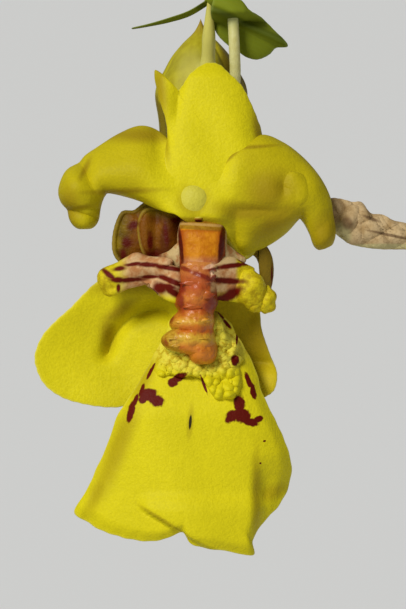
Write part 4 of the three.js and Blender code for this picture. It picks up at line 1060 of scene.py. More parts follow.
# Lip: a broad yellow skirt that hangs from the callus, with a folded left margin, a lap in its
# hem and a turned right corner; two side arms with dark red lines; and a bed of yellow warts.
LIP = [
    (-1.4, -3.9), (-1.75, -4.75), (-2.25, -5.6), (-2.65, -6.4), (-3.35, -7.6), (-4.1, -8.75),
    (-4.65, -10.25), (-5.2, -11.45), (-5.6, -12.4), (-6.28, -13.6), (-5.7, -14.05), (-5.0, -14.45),
    (-4.2, -14.7), (-3.4, -14.9), (-2.5, -15.0), (-1.7, -14.85), (-0.85, -14.5), (-0.5, -15.05),
    (0.2, -15.3), (1.4, -15.45), (2.62, -15.65), (2.62, -14.9), (3.2, -14.05), (3.85, -13.35),
    (4.35, -12.5), (4.58, -11.4), (4.38, -10.4), (4.0, -9.5), (3.6, -8.7), (3.1, -7.6),
    (2.8, -6.5), (2.3, -5.5), (1.8, -4.7), (1.3, -3.9), (-0.05, -3.4)]
ARM_LEFT = [
    (-0.9, -1.6), (-1.35, -1.3), (-1.45, -0.95), (-2.5, -0.85), (-3.15, -0.65), (-3.6, -0.85),
    (-4.2, -1.2), (-5.0, -1.55), (-5.1, -2.1), (-4.75, -2.75), (-4.3, -2.7), (-3.7, -2.4),
    (-3.1, -2.25), (-2.5, -2.15), (-2.0, -2.55), (-1.6, -2.9), (-0.95, -3.1)]
ARM_RIGHT = [
    (0.35, -1.25, 0.35, -2.9), (0.85, -1.0, 0.8, -2.95), (1.55, -0.95, 1.2, -3.0),
    (2.15, -1.25, 2.0, -3.1), (2.7, -1.5, 2.5, -3.2)]
ARM_RIGHT_DEPTHS = [[-1.8, -2.2, -2.0, -1.8], [-1.2, -1.6, -1.4, -1.3], [-0.6, -1.0, -0.8, -0.6]]
ARM_KNOBS = [
    (2.5, -1.15, -2.45, 0.8, 0.75, 1.0), (3.3, -0.95, -3.0, 0.52, 0.5, 0.68),
    (2.75, -1.05, -3.2, 0.45, 0.5, 0.45)]


def lip_depth(x, z, r):
    """A skirt that comes forward as it goes down, with its left margin folded back, its hem
    lapped over itself and its right corner turned back."""
    left_fold = smoothstep(0.75, 0.0, x + 3.55 + 0.42 * (-6.6 - z)) * smoothstep(-7.5, -9.5, z)
    left_crease = np.exp(-((x + 3.15 + 0.4 * (-7.4 - z)) / 0.35) ** 2) * smoothstep(-7.5, -9.5, z)
    lap = smoothstep(-0.2, 0.06, z + 14.0 + 0.6 * (x + 1.55)) * smoothstep(-12.4, -13.5, z)
    lap = lap * smoothstep(-3.1, -2.5, x)
    corner = smoothstep(2.35, 3.3, x) * smoothstep(-10.5, -12.5, z)
    spread = -0.7 - 1.3 * smoothstep(-5, -9, z) + 0.045 * (x + 0.3) ** 2
    rim = 0.25 * smoothstep(0.86, 1.0, r)
    uneven = 0.07 * np.sin(1.3 * x + 0.5 * z)
    return spread + 0.25 * (left_fold + left_crease) - 0.4 * lap + 0.7 * corner + rim + uneven


def arm_depth(x, z, r):
    """The arm falls back from the callus by a smooth step, then comes forward evenly to the left.
    Ridges run along it, as a sine wave across it, and its end and rim are turned back."""
    end = smoothstep(-3.9, -4.9, x)
    return (-0.75 + 0.18 * (x + 1) + 0.35 * end + 0.12 * np.sin(5.2 * (z + 1.2 - 0.28 * (x + 3)))
            + 0.35 * smoothstep(0.8, 1.0, r) - 1.3 * smoothstep(-2.5, -0.9, x))


WARTS = 230
WART_BED = [
    (-1.0, -4.6), (-1.8, -5.2), (-2.15, -5.8), (-2.5, -6.45), (-2.25, -6.85), (-1.7, -6.75),
    (-1.2, -6.95), (-0.6, -6.8), (0.0, -6.95), (0.35, -7.3), (0.65, -7.8), (1.0, -8.2),
    (1.5, -8.1), (1.95, -8.0), (2.2, -7.4), (2.25, -6.8), (2.1, -6.3), (2.3, -5.95), (1.95, -5.6),
    (2.1, -5.15), (1.7, -4.8), (1.35, -4.4), (1.2, -3.9), (0.8, -3.55), (0.3, -3.7), (-0.4, -4.2)]


def wart_depth(x, z, r):
    """Overlapping round bumps on the lip: each is a dome, and the nearest to the viewer counts."""
    rng = np.random.default_rng(4)
    middles = np.stack([rng.uniform(-2.7, 2.5, WARTS), rng.uniform(-8.6, -4, WARTS)], -1)
    size = rng.uniform(0.15, 0.45, WARTS)
    dome = np.zeros_like(x)
    for (x0, z0), reach in zip(middles, size):
        near = ((x - x0) ** 2 + (z - z0) ** 2) / reach**2
        dome = np.maximum(dome, (0.1 + 0.6 * reach) * (1 - np.clip(near, 0, 1) ** 0.7))
    fine = 0.05 * np.sin(11 * x + 5 * z) * np.sin(13 * z - 4 * x)
    raised = 0.45 * dent(x, z, -0.2, -5.2, 1.6, 1.1)
    return (lip_depth(x, z, 0) - (0.15 + dome + fine + raised) * smoothstep(1.0, 0.8, r) - 0.1
            + 0.45 * smoothstep(0.8, 1.0, r))


def lip_mesh(detail):
    """Skirt, left arm and wart bed as blades, the right arm as a strap, and its knobs."""
    skirt = blade(LIP, (-0.5, -10.5), lip_depth, detail)
    arm_left = blade(ARM_LEFT, (-3.2, -1.8), arm_depth, detail * 0.7, 0.35)
    arm_right = strap(ARM_RIGHT, ARM_RIGHT_DEPTHS, detail * 0.5, 0.35)
    bed = blade(WART_BED, (0.3, -6.0), wart_depth, detail * 1.25, 0.2)
    return together([skirt, arm_left, arm_right, bed, balls(ARM_KNOBS, detail * 1.3, 0.08)])


LIP_SPOTS = [
    (-2.45, -6.55, 0.08, 0.42, -28), (-2.9, -7.5, 0.1, 0.35, -22), (-3.2, -8.0, 0.11, 0.35, -20),
    (-3.42, -8.55, 0.17, 0.55, -14), (-2.6, -7.7, 0.45, 0.3, 10), (-2.15, -8.0, 0.4, 0.28, -10),
    (-2.85, -7.95, 0.2, 0.2, 0), (-1.05, -6.85, 0.42, 0.2, 30), (-1.35, -7.1, 0.25, 0.22, 0),
    (0.2, -7.2, 0.07, 0.5, 20), (1.75, -6.0, 0.22, 0.26, 0), (1.85, -4.85, 0.06, 0.38, -5),
    (2.4, -7.0, 0.13, 0.4, 20), (2.65, -7.55, 0.14, 0.4, 12), (1.95, -8.15, 0.28, 0.4, 0),
    (1.6, -8.75, 0.42, 0.26, 40), (2.1, -8.75, 0.4, 0.36, 0), (2.5, -9.05, 0.4, 0.2, -10),
    (2.9, -8.9, 0.24, 0.16, 30), (3.2, -10.0, 0.08, 0.05, 10), (3.0, -11.1, 0.05, 0.05, 0),
    (1.0, -3.65, 0.09, 0.35, 30), (1.35, -4.2, 0.3, 0.08, -50)]
ARM_LINES = [
    (-3.3, -1.22, 0.45, 0.09, 8), (-2.6, -1.25, 0.6, 0.12, -3), (-1.5, -1.42, 0.85, 0.12, -9),
    (-4.5, -1.75, 0.5, 0.13, -38), (-3.5, -2.0, 0.85, 0.11, 4), (-2.5, -1.85, 0.6, 0.09, 2),
    (-1.45, -2.05, 0.8, 0.14, -22), (-4.1, -2.0, 0.4, 0.14, -5), (-2.0, -2.4, 0.36, 0.3, 0),
    (-1.35, -2.6, 0.6, 0.17, -35), (-1.6, -2.35, 0.45, 0.15, -12), (-4.05, -2.4, 0.1, 0.2, 0),
    (-4.0, -1.45, 0.3, 0.12, 10),
    (1.6, -1.3, 0.95, 0.12, 8), (1.3, -2.05, 0.9, 0.15, -3), (1.5, -2.75, 0.7, 0.26, 28),
    (0.95, -3.1, 0.5, 0.35, 35), (2.2, -1.1, 0.35, 0.09, -20)]


def lip_finish():
    """Yellow skirt with painted olive shade in its folds and dark red blotches; pinkish white arms
    lined with red; a painted dark slit with painted olive shade round it.
    """
    finish, start, skin = new_finish("lip", Roughness=0.55, Specular_IOR_Level=0.1)
    place, span = place_of(start)
    x, _, z = place.parts()
    yellow = yellow_skin(place, skin, 0.5, dimmed(YELLOW, 0.86), YELLOW)
    # painted shade: olive along the folded left margin, the lap in the hem and the right corner
    painted_fold_shade = [
        (-4.1, -10.4, 0.4, 2.3, -22), (-5.1, -12.6, 0.3, 1.0, -25),
        (-1.95, -13.82, 0.95, 0.08, -31), (2.8, -12.6, 0.2, 1.7, 0), (3.6, -12.6, 0.6, 0.3, 20),
        (-2.8, -7.0, 0.3, 1.2, -24)]
    shade = ragged(place, painted_fold_shade, place.noise(0.8, 2.0), 0.5, 2.0, 0.2)
    yellow = (shade * 0.55).blend(yellow, OLIVE_SHADE)
    yellow = (span.parts()[2].between(0.97, 1.0) * 0.2).blend(yellow, PALE_RIM)
    bed = ellipses(place, [(0.0, -5.4, 2.3, 1.2, 0), (1.0, -4.4, 0.5, 0.9, 15)]).between(1.3, 0.8)
    crumbs = place.noise(3.2, 4.0, 0.7)
    warts = crumbs.between(0.38, 0.54).blend((0.48, 0.34, 0.012), (0.68, 0.59, 0.05))
    yellow = bed.blend(yellow, warts)
    knobs = crumbs.between(0.35, 0.6).blend((0.42, 0.30, 0.004), (0.62, 0.50, 0.008))
    yellow = (x.between(1.7, 1.9) * z.between(-3.9, -3.6)).blend(yellow, knobs)
    yellow = (x.between(-3.9, -4.5) * z.between(-3.3, -3.0)).blend(yellow, knobs)
    pink = place.noise(2.4, 3.0).between(0.35, 0.65).blend((0.44, 0.19, 0.065), (0.62, 0.40, 0.19))
    pink = (z.between(-1.4, -1.15) * x.between(0.6, 0.9)).blend(pink, (0.55, 0.38, 0.17))
    arm = z.between(-3.1, -2.4) * x.between(-4.3, -3.4) * x.between(1.95, 1.7)
    colour = arm.blend(yellow, pink)
    blotch = ragged(place, LIP_SPOTS, place.noise(4.5, 3.0), 0.8, 1.2, 0.85)
    lines = ragged(place, ARM_LINES, place.noise(3.5, 2.0), 0.6, 1.5, 0.6)
    colour = blotch.larger(lines).blend(colour, DARK_RED)
    # painted shade: the dark of the slit in the skirt and the olive round it
    painted_slit_shade = ellipses(place, [(-0.48, -9.05, 0.08, 0.4, -5)])
    colour = (painted_slit_shade.between(3.0, 1.0) * 0.4).blend(colour, OLIVE_SHADE)
    painted_slit_shade.between(1.1, 0.7).blend(colour, (0.03, 0.02, 0.004)).feed(skin, "Base Color")
    return finish


red_lip = lip_finish()
hang("bloom_lip", lip_mesh(0.95), red_lip, "petal", ["bloom_lip"])

# Callus: a glossy orange-red crest on the lip, ringed with paler swellings.
CALLUS = [
    (-0.75, -1.15, 0.8, -1.15), (-0.85, -1.5, 0.78, -1.5), (-0.85, -2.1, 0.72, -2.1),
    (-0.95, -2.7, 0.72, -2.7), (-1.1, -3.1, 0.72, -3.1), (-0.9, -3.6, 0.5, -3.6),
    (-1.35, -4.15, 0.55, -4.15), (-1.15, -4.5, 0.5, -4.5), (-1.75, -4.95, 0.65, -4.95),
    (-1.5, -5.25, 0.68, -5.25), (-0.55, -5.5, 0.68, -5.55), (-0.35, -5.85, 0.6, -5.85),
    (-0.1, -6.1, 0.4, -6.1)]
CALLUS_FRONT = [
    -2.0, -2.35, -2.45, -2.5, -2.4, -2.3, -2.45, -2.35, -2.5, -2.45, -2.35, -2.25, -1.9]
CALLUS_BACK = -1.3
CALLUS_KNOBS = [
    (-0.3, -2.12, -1.35, 0.5, 0.3, 0.24), (0.45, -2.1, -1.42, 0.4, 0.3, 0.26),
    (0.55, -2.2, -1.85, 0.25, 0.28, 0.25), (-0.2, -2.5, -2.15, 0.75, 0.2, 0.18),
    (0.3, -2.5, -2.75, 0.42, 0.2, 0.26), (-0.35, -2.45, -3.3, 0.5, 0.2, 0.18),
    (-0.5, -2.45, -4.1, 0.75, 0.2, 0.12), (0.2, -2.4, -4.0, 0.3, 0.2, 0.14),
    (-0.6, -2.5, -4.93, 1.0, 0.2, 0.11), (-1.1, -2.4, -5.25, 0.35, 0.2, 0.12),
    (0.12, -2.35, -5.5, 0.25, 0.2, 0.34), (-0.5, -2.35, -4.55, 0.6, 0.2, 0.12)]


def callus_change(x, z, y):
    """Small bumps all over, as products of sine waves in different directions."""
    coarse = np.sin(6 * x + 3 * z) * np.sin(7 * z - 3 * x)
    fine = np.sin(13 * x - 4 * z) * np.sin(11 * z + 5 * x)
    return y + 0.06 * coarse + 0.02 * fine


def callus_mesh(detail):
    """A strap whose sides curve back from its front, by shares of the way to its back, and the
    swellings round it."""
    front = np.array(CALLUS_FRONT)[:, None]
    depths = front + np.array([1.3, 0.45, 0.05, 0.05, 0.45, 1.3])[None] * (CALLUS_BACK - front)
    crest = strap(CALLUS, depths, detail * 0.8, 0.5, callus_change)
    return together([crest, balls(CALLUS_KNOBS, detail * 0.6, 0.14)])


def callus_finish():
    """Glossy orange and red in bands from top to bottom, golden at the left end, with red streaks
    and stains, and small pale patches of painted highlight near the top."""
    finish, start, skin = new_finish("callus", Roughness=0.36, Specular_IOR_Level=0.25,
                                     Coat_Weight=0.08, Coat_Roughness=0.1)
    place, _ = place_of(start)
    x, _, z = place.parts()
    cloud = place.noise(3.0, 4.0, 0.6)
    bands = z + (cloud - 0.5) * 0.4
    tone = bands.node("ShaderNodeValToRGB", {"stops": [
        (0.0, (0.62, 0.34, 0.02)), (0.06, (0.56, 0.17, 0.012)), (0.2, (0.58, 0.19, 0.014)),
        (0.255, (0.62, 0.36, 0.025)), (0.3, (0.62, 0.34, 0.025)), (0.34, (0.50, 0.12, 0.007)),
        (0.39, (0.54, 0.15, 0.008)), (0.435, (0.66, 0.35, 0.03)), (0.48, (0.58, 0.21, 0.014)),
        (0.56, (0.44, 0.08, 0.006)), (0.66, (0.56, 0.18, 0.02)), (0.76, (0.42, 0.075, 0.011)),
        (0.86, (0.44, 0.10, 0.018)), (1.0, (0.54, 0.20, 0.04))]},
        {0: bands.node("ShaderNodeMapRange", {}, {
            "Value": bands, "From Min": -6.3, "From Max": -1.2})})
    fringe = (x + (cloud - 0.5) * 0.8).between(-0.75, -1.25) * z.between(-4.0, -4.5)
    gold = cloud.between(0.4, 0.6).blend((0.38, 0.18, 0.008), (0.56, 0.36, 0.03))
    tone = (fringe * 0.85).blend(tone, gold)
    streak = (cloud.between(0.52, 0.66) * 0.4).blend(tone, (0.32, 0.035, 0.008))
    side = (x + (cloud - 0.5) * 0.3).between(0.42, 0.62) * z.between(-2.75, -2.5)
    streak = (side * 0.85).blend(streak, (0.56, 0.34, 0.15))
    stains = [
        (0.75, -3.05, 0.6, 0.42, 35), (0.72, -1.5, 0.4, 0.09, 8), (-1.0, -3.0, 0.2, 0.6, 10),
        (0.7, -2.03, 0.4, 0.11, 0), (-0.95, -2.45, 0.2, 0.3, 0),
        (-1.5, -3.95, 0.22, 0.2, 30), (-1.85, -5.2, 0.2, 0.25, 0),
        (-0.75, -1.46, 0.4, 0.1, -23), (0.1, -1.82, 0.5, 0.12, -23), (0.75, -1.85, 0.3, 0.1, 25)]
    stain = ragged(place, stains, cloud, 1.6, 1.7, 0.5) * 0.9
    streak = stain.blend(streak, (0.20, 0.012, 0.003))
    # painted highlights: small pale glints near the top of the crest
    lights = [(0.45, -1.35, 0.3, 0.1, 20), (0.62, -1.65, 0.14, 0.12, 0)]
    light = ragged(place, lights, cloud, 1.5, 1.2, 0.6) * 0.7
    light.blend(streak, (0.70, 0.44, 0.28)).feed(skin, "Base Color")
    roughen(place.noise(5.0, 3.0), skin, 0.35, 0.0002)
    return finish


red_callus = callus_finish()
hang("bloom_callus", callus_mesh(1), red_callus, "callus", ["bloom_callus"])

# Column: an orange face between dark red margins, with a pale round anther cap above it, a cream
# tab at each side, and thin brown wings with dark red spots, broad at the left and narrow at the
# right.
WING_LEFT = [
    (-0.7, 1.6), (-1.75, 1.95), (-2.65, 1.95), (-3.3, 1.5), (-3.95, 1.4), (-4.3, 0.6),
    (-4.4, -0.4), (-4.05, -1.1), (-3.25, -1.2), (-2.0, -1.2), (-0.7, -1.0)]
WING_INNER = [
    (-0.6, 1.5), (-1.8, 1.65), (-2.75, 1.55), (-3.1, 0.9), (-3.05, 0.0), (-2.8, -0.75),
    (-2.2, -1.15), (-1.4, -1.25), (-0.7, -1.2)]
WING_RIGHT = [
    (0.8, 0.75), (2.0, 0.3), (2.9, 0.05), (3.5, -0.65), (3.68, -1.5), (3.55, -2.5), (3.25, -2.8),
    (3.3, -2.1), (3.1, -1.35), (2.75, -0.75), (1.8, -0.4), (0.8, -0.3)]
FACE = [
    (-0.85, 0.95, 1.1, 0.85), (-0.98, 0.3, 1.2, 0.2), (-0.98, -0.4, 1.15, -0.45),
    (-0.85, -1.0, 1.05, -1.05), (-0.7, -1.5, 0.9, -1.5)]
TAB_LEFT = [(-0.85, -0.1), (-1.1, -0.2), (-1.55, -0.6), (-2.2, -0.9), (-1.7, -1.15), (-0.9, -1.35)]
TAB_RIGHT = [(1.0, -0.1), (1.35, -0.25), (1.8, -0.6), (2.3, -1.0), (1.9, -1.3), (1.0, -1.45)]
CAP_AND_CORE = [
    (-0.3, -1.3, 1.9, 0.85, 0.5, 0.85), (-0.08, -1.62, 1.02, 0.22, 0.18, 0.12),
    (0.1, -0.3, 0.2, 1.0, 1.2, 1.3)]
FACE_DEPTHS = [[-0.6, -1.0, -1.3, -1.3, -1.0, -0.6], [-0.7, -1.7, -1.9, -1.9, -1.7, -0.7],
               [-0.7, -1.75, -2.0, -2.0, -1.75, -0.7], [-0.7, -1.75, -2.05, -2.05, -1.75, -0.7],
               [-0.7, -1.6, -1.9, -1.9, -1.6, -0.7]]


def wing_depth(base, bow, rim, pleat):
    """A wing that bows back towards its rim, with a raised line just inside it, and pleats."""
    return lambda x, z, r: (base + bow * r**2 - rim * np.exp(-((r - 0.95) / 0.04) ** 2)
                            + pleat * np.sin(5 * x))


def tab_depth(x, z, r):
    """Comes forward near the column, and bends back with the square of r."""
    return -1.0 - 0.5 * smoothstep(1.9, 0.95, np.abs(x)) + 0.25 * r**2


def column_mesh(detail):
    """The face as a strap, cap and core as balls, and tabs and wings as blades."""
    return together([
        strap(FACE, FACE_DEPTHS, detail * 0.8, 0.4),
        balls(CAP_AND_CORE, detail, 0.02),
        blade(TAB_LEFT, (-1.2, -0.8), tab_depth, detail * 0.5, 0.25),
        blade(TAB_RIGHT, (1.35, -0.95), tab_depth, detail * 0.5, 0.25),
        blade(WING_LEFT, (-2.5, 0.3), wing_depth(0.35, 0.35, 0.15, 0), detail * 0.7),
        blade(WING_INNER, (-1.9, 0.2), wing_depth(0.1, 0.2, 0.1, 0.12), detail * 0.7),
        blade(WING_RIGHT, (2.95, -0.45), wing_depth(0.5, 0.35, 0, 0), detail * 0.7)])


WING_SPOTS = [
    (-3.35, 0.75, 0.3, 0.2, 20), (-3.65, -0.15, 0.28, 0.3, 0), (-2.5, -0.1, 0.16, 0.5, 0),
    (-2.3, -0.85, 0.6, 0.3, -8), (-1.7, 0.3, 0.12, 0.6, 5), (-1.2, 1.0, 0.3, 0.14, 0),
    (2.0, -0.62, 0.22, 0.1, -35), (3.6, -1.7, 0.05, 0.5, 0), (-3.85, -0.8, 0.2, 0.4, 10)]


def column_finish():
    """Orange face between dark red margins, tan above it, yellow cap, cream tabs, and brown wings
    with a painted rim light along their edges.
    """
    finish, start, skin = new_finish("column", Roughness=0.45, Specular_IOR_Level=0.1)
    place, span = place_of(start)
    x, y, z = place.parts()
    cloud = place.noise(2.5, 3.0)
    orange = cloud.between(0.35, 0.65).blend((0.47, 0.14, 0.003), (0.60, 0.22, 0.006))
    pink = cloud.between(0.35, 0.65).blend((0.44, 0.13, 0.04), (0.62, 0.32, 0.16))
    tan = cloud.between(0.35, 0.65).blend((0.28, 0.12, 0.006), (0.38, 0.20, 0.01))
    broad = place.noise(1.1, 3.0).between(0.38, 0.62)
    brown = broad.blend((0.10, 0.055, 0.001), (0.20, 0.13, 0.003))
    rust = place.noise(0.9, 3.0).between(0.4, 0.6).blend((0.09, 0.016, 0.001), (0.19, 0.06, 0.002))
    brown = (x.between(-4.0, -3.3) * 0.9).blend(brown, rust)
    brown = x.between(1.8, 2.4).blend(brown, (0.21, 0.135, 0.009))
    brown = (z + x * 0.12).between(0.7, 1.5).blend(brown, (0.25, 0.17, 0.006))
    colour = (z + (cloud - 0.5) * 0.4).between(-0.75, -1.2).blend(orange, pink)
    colour = (z + x * 0.08).between(0.42, 0.5).blend(colour, tan)
    ridge = abs(z + x * 0.06 - 0.74).between(0.1, 0.03)
    colour = (ridge * 0.7).blend(colour, (0.55, 0.33, 0.10))
    margins = [
        (-0.95, -0.3, 0.1, 0.95, 6), (1.08, -0.2, 0.15, 0.95, -6), (-0.1, 0.92, 0.25, 0.07, 0)]
    near = abs(x - 0.08).larger((z + 0.25) * 1.25) + (cloud - 0.5) * 0.4
    near = near.between(0.62, 1.05) * z.between(0.5, 0.42) * 0.85
    colour = near.blend(colour, (0.30, 0.04, 0.005))
    wings = x.between(-0.98, -1.05).larger(x.between(1.22, 1.3))
    colour = wings.blend(colour, brown)
    # painted highlight: a pale olive-tan rim light along the wings' edges
    rim = span.parts()[2].between(0.93, 0.96) * wings
    colour = (rim * 0.75).blend(colour, (0.30, 0.21, 0.02))
    tab = y.between(-0.45, -0.6) * wings
    cream_pink = cloud.between(0.45, 0.65).blend((0.52, 0.37, 0.16), (0.40, 0.18, 0.06))
    colour = tab.blend(colour, cream_pink)
    spots = ragged(place, WING_SPOTS, place.noise(3.5, 3.0), 0.9, 1.5, 0.4)
    margin = ragged(place, margins, place.noise(4.0, 2.0), 0.4, 1.3, 0.7)
    colour = spots.larger(margin).blend(colour, (0.085, 0.006, 0.001))
    cap = z.between(1.03, 1.1) * x.between(-1.3, -1.2)
    cap = cap * x.between(0.75, 0.65) * y.between(-0.4, -0.6)
    cap.blend(colour, (0.56, 0.50, 0.05)).feed(skin, "Base Color")
    roughen(place.noise(7.0, 3.0), skin, 0.4, 0.00012)
    return finish


orange_column = column_finish()
hang("bloom_column", column_mesh(0.72), orange_column, "column", ["bloom_column"])

# Closing bloom: a spent flower behind the main one that has folded shut round itself, seen
# from its back. Its sepals overlap in soft ridges and its pedicel runs down into them.
CLOSING = [
    (0, -0.2), (1.1, 0.6), (1.75, 2.6), (2.05, 5.2), (2.32, 7.1), (2.2, 8.0), (1.85, 8.75),
    (1.5, 9.5), (0.98, 10.15), (0.4, 10.7), (0.14, 11.1), (0, 11.45)]
CLOSING_STALK = [(0.5, 1.6, 12.1), (0.45, 2.2, 10.4), (0.4, 2.75, 8.9), (0.25, 3.3, 6.4)]


def closing_mesh(detail):
    """A profile turned round an upright axis, pinched along three grooves where the folded sepals
    overlap: the radius is smaller where a sine of the angle comes near zero."""
    turn = np.linspace(0, 2 * np.pi, int(160 * detail), endpoint=False)[None]
    profile = spline(CLOSING, np.linspace(0, 1, int(120 * detail)))
    groove = (1 - np.abs(np.sin(1.5 * (turn - np.pi / 2) + 0.04 * profile[:, 1:]))) ** 5
    radius = np.maximum(profile[:, :1], 0) * (1.02 - 0.13 * groove + 0.015 * np.cos(11 * turn))
    z = np.broadcast_to(profile[:, 1:], radius.shape)
    x = 0.03 + radius * np.cos(turn) * (1 + 0.03 * np.sin(z * 1.7))
    grid = np.stack([x, 5.3 + radius * np.sin(turn), z], -1)
    points = grid.reshape(-1, 3)
    body = points, outward(points, grid_faces(*radius.shape, wrap=True)), np.full_like(points, 0.5)
    stalk = plain_tube(CLOSING_STALK, lambda s: 0.14 + 0.2 * smoothstep(0, 0.4, s)
                       + 0.46 * smoothstep(0.55, 1, s), 20, int(70 * detail) + 6)
    return together([body, stalk])


def closing_finish():
    """Dull yellow with long fibres, brown painted shade low down in front and at one side, a pale
    patch of painted light high on the left, a browner tip and a cream stalk.
    """
    finish, start, skin = new_finish("closing_bloom", Roughness=0.55, Specular_IOR_Level=0.18)
    place, _ = place_of(start)
    x, y, z = place.parts()
    stretch = place.node("ShaderNodeMapping", {}, {"Vector": place, "Scale": (1.0, 1.0, 0.25)})
    fibres = stretch.noise(3.0, 3.0, 0.5)
    yellow = fibres.between(0.3, 0.7).blend((0.34, 0.28, 0.006), (0.42, 0.37, 0.012))
    # painted shade: brown where the folded bloom lies in shade, low in front and at its right
    low = (z + (fibres - 0.5) * 1.5).between(7.8, 7.0)
    low = low * (y + (fibres - 0.5) * 2.0).between(6.0, 5.0)
    brown = ((x + (fibres - 0.5) * 0.6).between(0.75, 1.3) * z.between(6.0, 7.5)).larger(low)
    yellow = (brown * 0.85).blend(yellow, (0.13, 0.085, 0.002))
    tip = z.between(10.2, 11.4)
    yellow = (tip * 0.6).blend(yellow, (0.22, 0.09, 0.012))
    # painted light: a pale patch where the light falls on the bloom's upper left
    pale = ellipses(place, [(-0.4, 8.8, 1.1, 1.3, 0)]).between(1.1, 0.3) * 0.5
    yellow = pale.blend(yellow, (0.52, 0.47, 0.09))
    stalk = y.between(3.75, 3.35) * abs(x - 0.4).between(0.7, 0.45)
    stalk.blend(yellow, (0.56, 0.51, 0.11)).feed(skin, "Base Color")
    roughen(fibres, skin, 0.2, 0.0001)
    return finish


spent_yellow = closing_finish()
hang("closing_bloom", closing_mesh(0.9), spent_yellow, "petal", ["closing_bloom"])

# Withered bloom: a dead flower beside the main one, dried to crumpled beige paper on its stalk.
WITHERED = [
    (6.4, 2.0), (7.0, 2.12), (7.65, 1.95), (8.1, 1.95), (8.35, 1.6), (8.65, 1.35), (9.2, 1.3),
    (9.75, 1.0), (10.4, 0.85), (11.5, 0.4), (12.4, 0.1), (12.4, -0.3), (11.5, -0.45),
    (10.3, -0.45), (9.0, -0.42), (7.8, -0.25), (7.2, 0.05), (6.5, 0.8)]
WITHERED_FOLD = [
    (6.7, 0.9), (7.2, 1.6), (7.9, 1.75), (8.3, 1.2), (8.5, 0.5), (8.0, 0.1), (7.3, 0.2)]
WITHERED_STALK = [
    (12.1, 1.4, 0.1), (13.4, 1.4, 4.0), (13.6, 1.2, 9.0), (11.5, 1.0, 14.5), (6.5, 0.8, 17.4),
    (0.9, 0.6, 17.9)]


def withered_depth(x, z, r):
    """Crumpled: creases are where sine waves in several directions fold over at zero."""
    crease = (np.abs(np.sin(2.3 * x + 1.2 * z)) + 0.7 * np.abs(np.sin(3.1 * z - 1.6 * x + 1)) +
              0.4 * np.abs(np.sin(6.0 * x + 4.0 * z)))
    return 1.9 - 0.5 * (1 - r**2) - 0.2 * crease


def fold_depth(x, z, r):
    """A lap in front of the rest, whose rim goes back, creased in one direction."""
    return 1.0 + 0.5 * r - 0.2 * np.abs(np.sin(3 * x - 2 * z))


withered_blade = blade(WITHERED, (8.6, 0.6), withered_depth, 0.9, 0.22)
withered_fold = blade(WITHERED_FOLD, (7.6, 0.9), fold_depth, 0.5, 0.2)
dry_stalk = plain_tube(WITHERED_STALK, lambda s: 0.35 + 0.05 * s, 12, 90)


def dry_finish():
    """Beige papery skin, browner in its pores, with painted shade in its pockets and creases, and
    a greenish white lower edge.
    """
    finish, start, skin = new_finish("dry_petal", Roughness=0.8, Specular_IOR_Level=0.1)
    place, _ = place_of(start)
    cloud = place.noise(1.3, 4.0, 0.6)
    fine = place.noise(7.0, 3.0)
    beige = cloud.between(0.35, 0.65).blend((0.36, 0.235, 0.10), (0.54, 0.39, 0.20))
    beige = (fine.between(0.55, 0.7) * 0.5).blend(beige, (0.26, 0.15, 0.06))
    pale = ellipses(place, [(7.1, 0.35, 0.5, 0.6, 30), (9.3, -0.3, 2.2, 0.14, 0)])
    beige = pale.between(1.3, 0.6).blend(beige, (0.48, 0.41, 0.19))
    # painted shade: dark in the pocket under the lap and along two creases
    painted_pocket_shade = ellipses(place, [
        (7.4, 0.85, 0.32, 0.35, 20), (8.6, 1.1, 0.5, 0.1, -20), (9.6, 0.25, 1.3, 0.08, -12)])
    (painted_pocket_shade.between(1.3, 0.5) * 0.8).blend(beige, (0.13, 0.07, 0.03)).feed(skin, "Base Color")
    roughen(fine + cloud, skin, 0.35, 0.0002)
    return finish


dry = dry_finish()
withered = together([withered_blade, withered_fold, dry_stalk])
hang("withered_bloom", withered, dry, "dry_petal", ["withered_bloom"])

# Blooms on the other stems: the same flower again, turned its own way and with fewer facets.
PLAIN_DETAIL = 0.29
# name, mesh, finish, slot, and the end of the name of the solid that it replaces
organs = [
    ("pedicel", pedicel_mesh, cream, "pedicel", ""),
    ("dorsal_sepal", hood_mesh, hood_finish, "petal", ""),
    ("petal_left", petal_left_mesh, petal_left_finish, "petal", ""),
    ("petal_right", petal_right_mesh, petal_right_finish, "petal", ""),
    ("sepal_left", sepal_left_mesh, sepal_left_finish, "petal", ""),
    ("sepal_right", sepal_right_mesh, sepal_right_finish, "petal", ""),
    ("lip", lip_mesh, red_lip, "petal", ""),
    ("callus", callus_mesh, red_callus, "callus", "_column"),
    ("column", column_mesh, orange_column, "column", "_column"),
]
plain_organs = [(label, mesh(PLAIN_DETAIL), *rest) for label, mesh, *rest in organs]
other_blooms = [((-52, 1, 208), -20), ((27, 66, 184), 150), ((-76, -47, 139), -50)]
for number, (foot, turn) in enumerate(other_blooms, start=2):
    c, s = np.cos(np.radians(turn)), np.sin(np.radians(turn))
    spin = np.array([[c, -s, 0], [s, c, 0], [0, 0, 1]])
    shift = np.array(foot) - spin @ np.array(PEDICEL[0]) - [0, 0, 0.3]
    for label, mesh, finish, slot, end in plain_organs:
        hang(f"bloom_{number}_{label}", mesh, finish, slot, [f"bloom_{number}{end}"],
             seat=lambda points, spin=spin, shift=shift: points @ spin.T + shift)

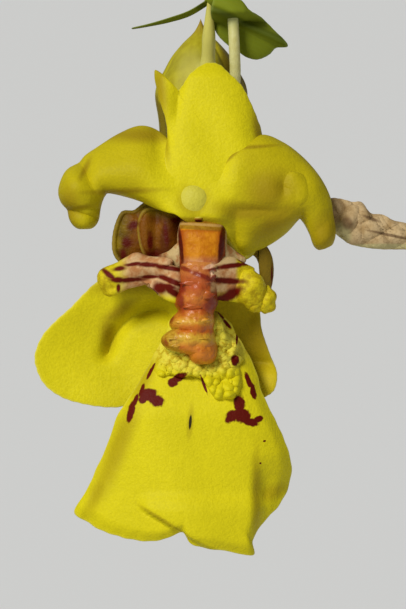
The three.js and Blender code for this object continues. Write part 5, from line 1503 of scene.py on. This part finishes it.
# Floor, light and camera: a pale floor out to the horizon, a pale sky of the same tone, soft
# light from above the camera, and a camera 200 mm in front of the main bloom at its own tilt.
FLOOR_HALF = 20  # metres
SKY_STRENGTH = 0.27
SUN_STRENGTH = 2.85
SUN_WIDTH = 22  # degrees; the wider, the softer its shadows
SUN_TURN = (52, 0, -36)  # degrees about X, Y and Z
CAMERA_AWAY = 200
AIM_ACROSS, AIM_UP = 0.15, -3.225  # the frame's middle, from the bloom's centre
FOCAL_LENGTH = 236.4  # on a sensor 36 mm high: 30.5 mm of the bloom from 200 mm away
corners = [(FLOOR_HALF * x, FLOOR_HALF * y, 0) for x, y in ((-1, -1), (1, -1), (1, 1), (-1, 1))]
floor_mesh = bpy.data.meshes.new("floor")
floor_mesh.from_pydata(corners, [], [(0, 1, 2, 3)])
floor_finish, _, floor_skin = new_finish("floor", Roughness=0.9)
floor_skin.inputs["Base Color"].default_value = (0.80, 0.80, 0.78, 1)
floor_mesh.materials.append(floor_finish)
floor = bpy.data.objects.new("floor", floor_mesh)
bpy.context.collection.objects.link(floor)

world = bpy.data.worlds.new("studio")
world.use_nodes = True
sky = world.node_tree.nodes["Background"]
sky.inputs["Color"].default_value = (0.80, 0.81, 0.82, 1)
sky.inputs["Strength"].default_value = SKY_STRENGTH
bpy.context.scene.world = world

sun = bpy.data.lights.new("key", "SUN")
sun.energy = SUN_STRENGTH
sun.angle = np.radians(SUN_WIDTH)
key = bpy.data.objects.new("key", sun)
key.rotation_euler = np.radians(SUN_TURN)
bpy.context.collection.objects.link(key)

lens = bpy.data.cameras.new("camera")
lens.sensor_fit = "VERTICAL"
lens.sensor_height = 36
lens.lens = FOCAL_LENGTH
lens.clip_start = 0.01
lens.clip_end = 100
camera = bpy.data.objects.new("camera", lens)
camera.location = main_seat(np.array([AIM_ACROSS, -CAMERA_AWAY, AIM_UP])) * MM
camera.rotation_euler = (np.pi / 2 - BLOOM_TILT, 0, 0)
bpy.context.collection.objects.link(camera)
bpy.context.scene.camera = camera
bpy.context.scene.view_settings.view_transform = "Standard"
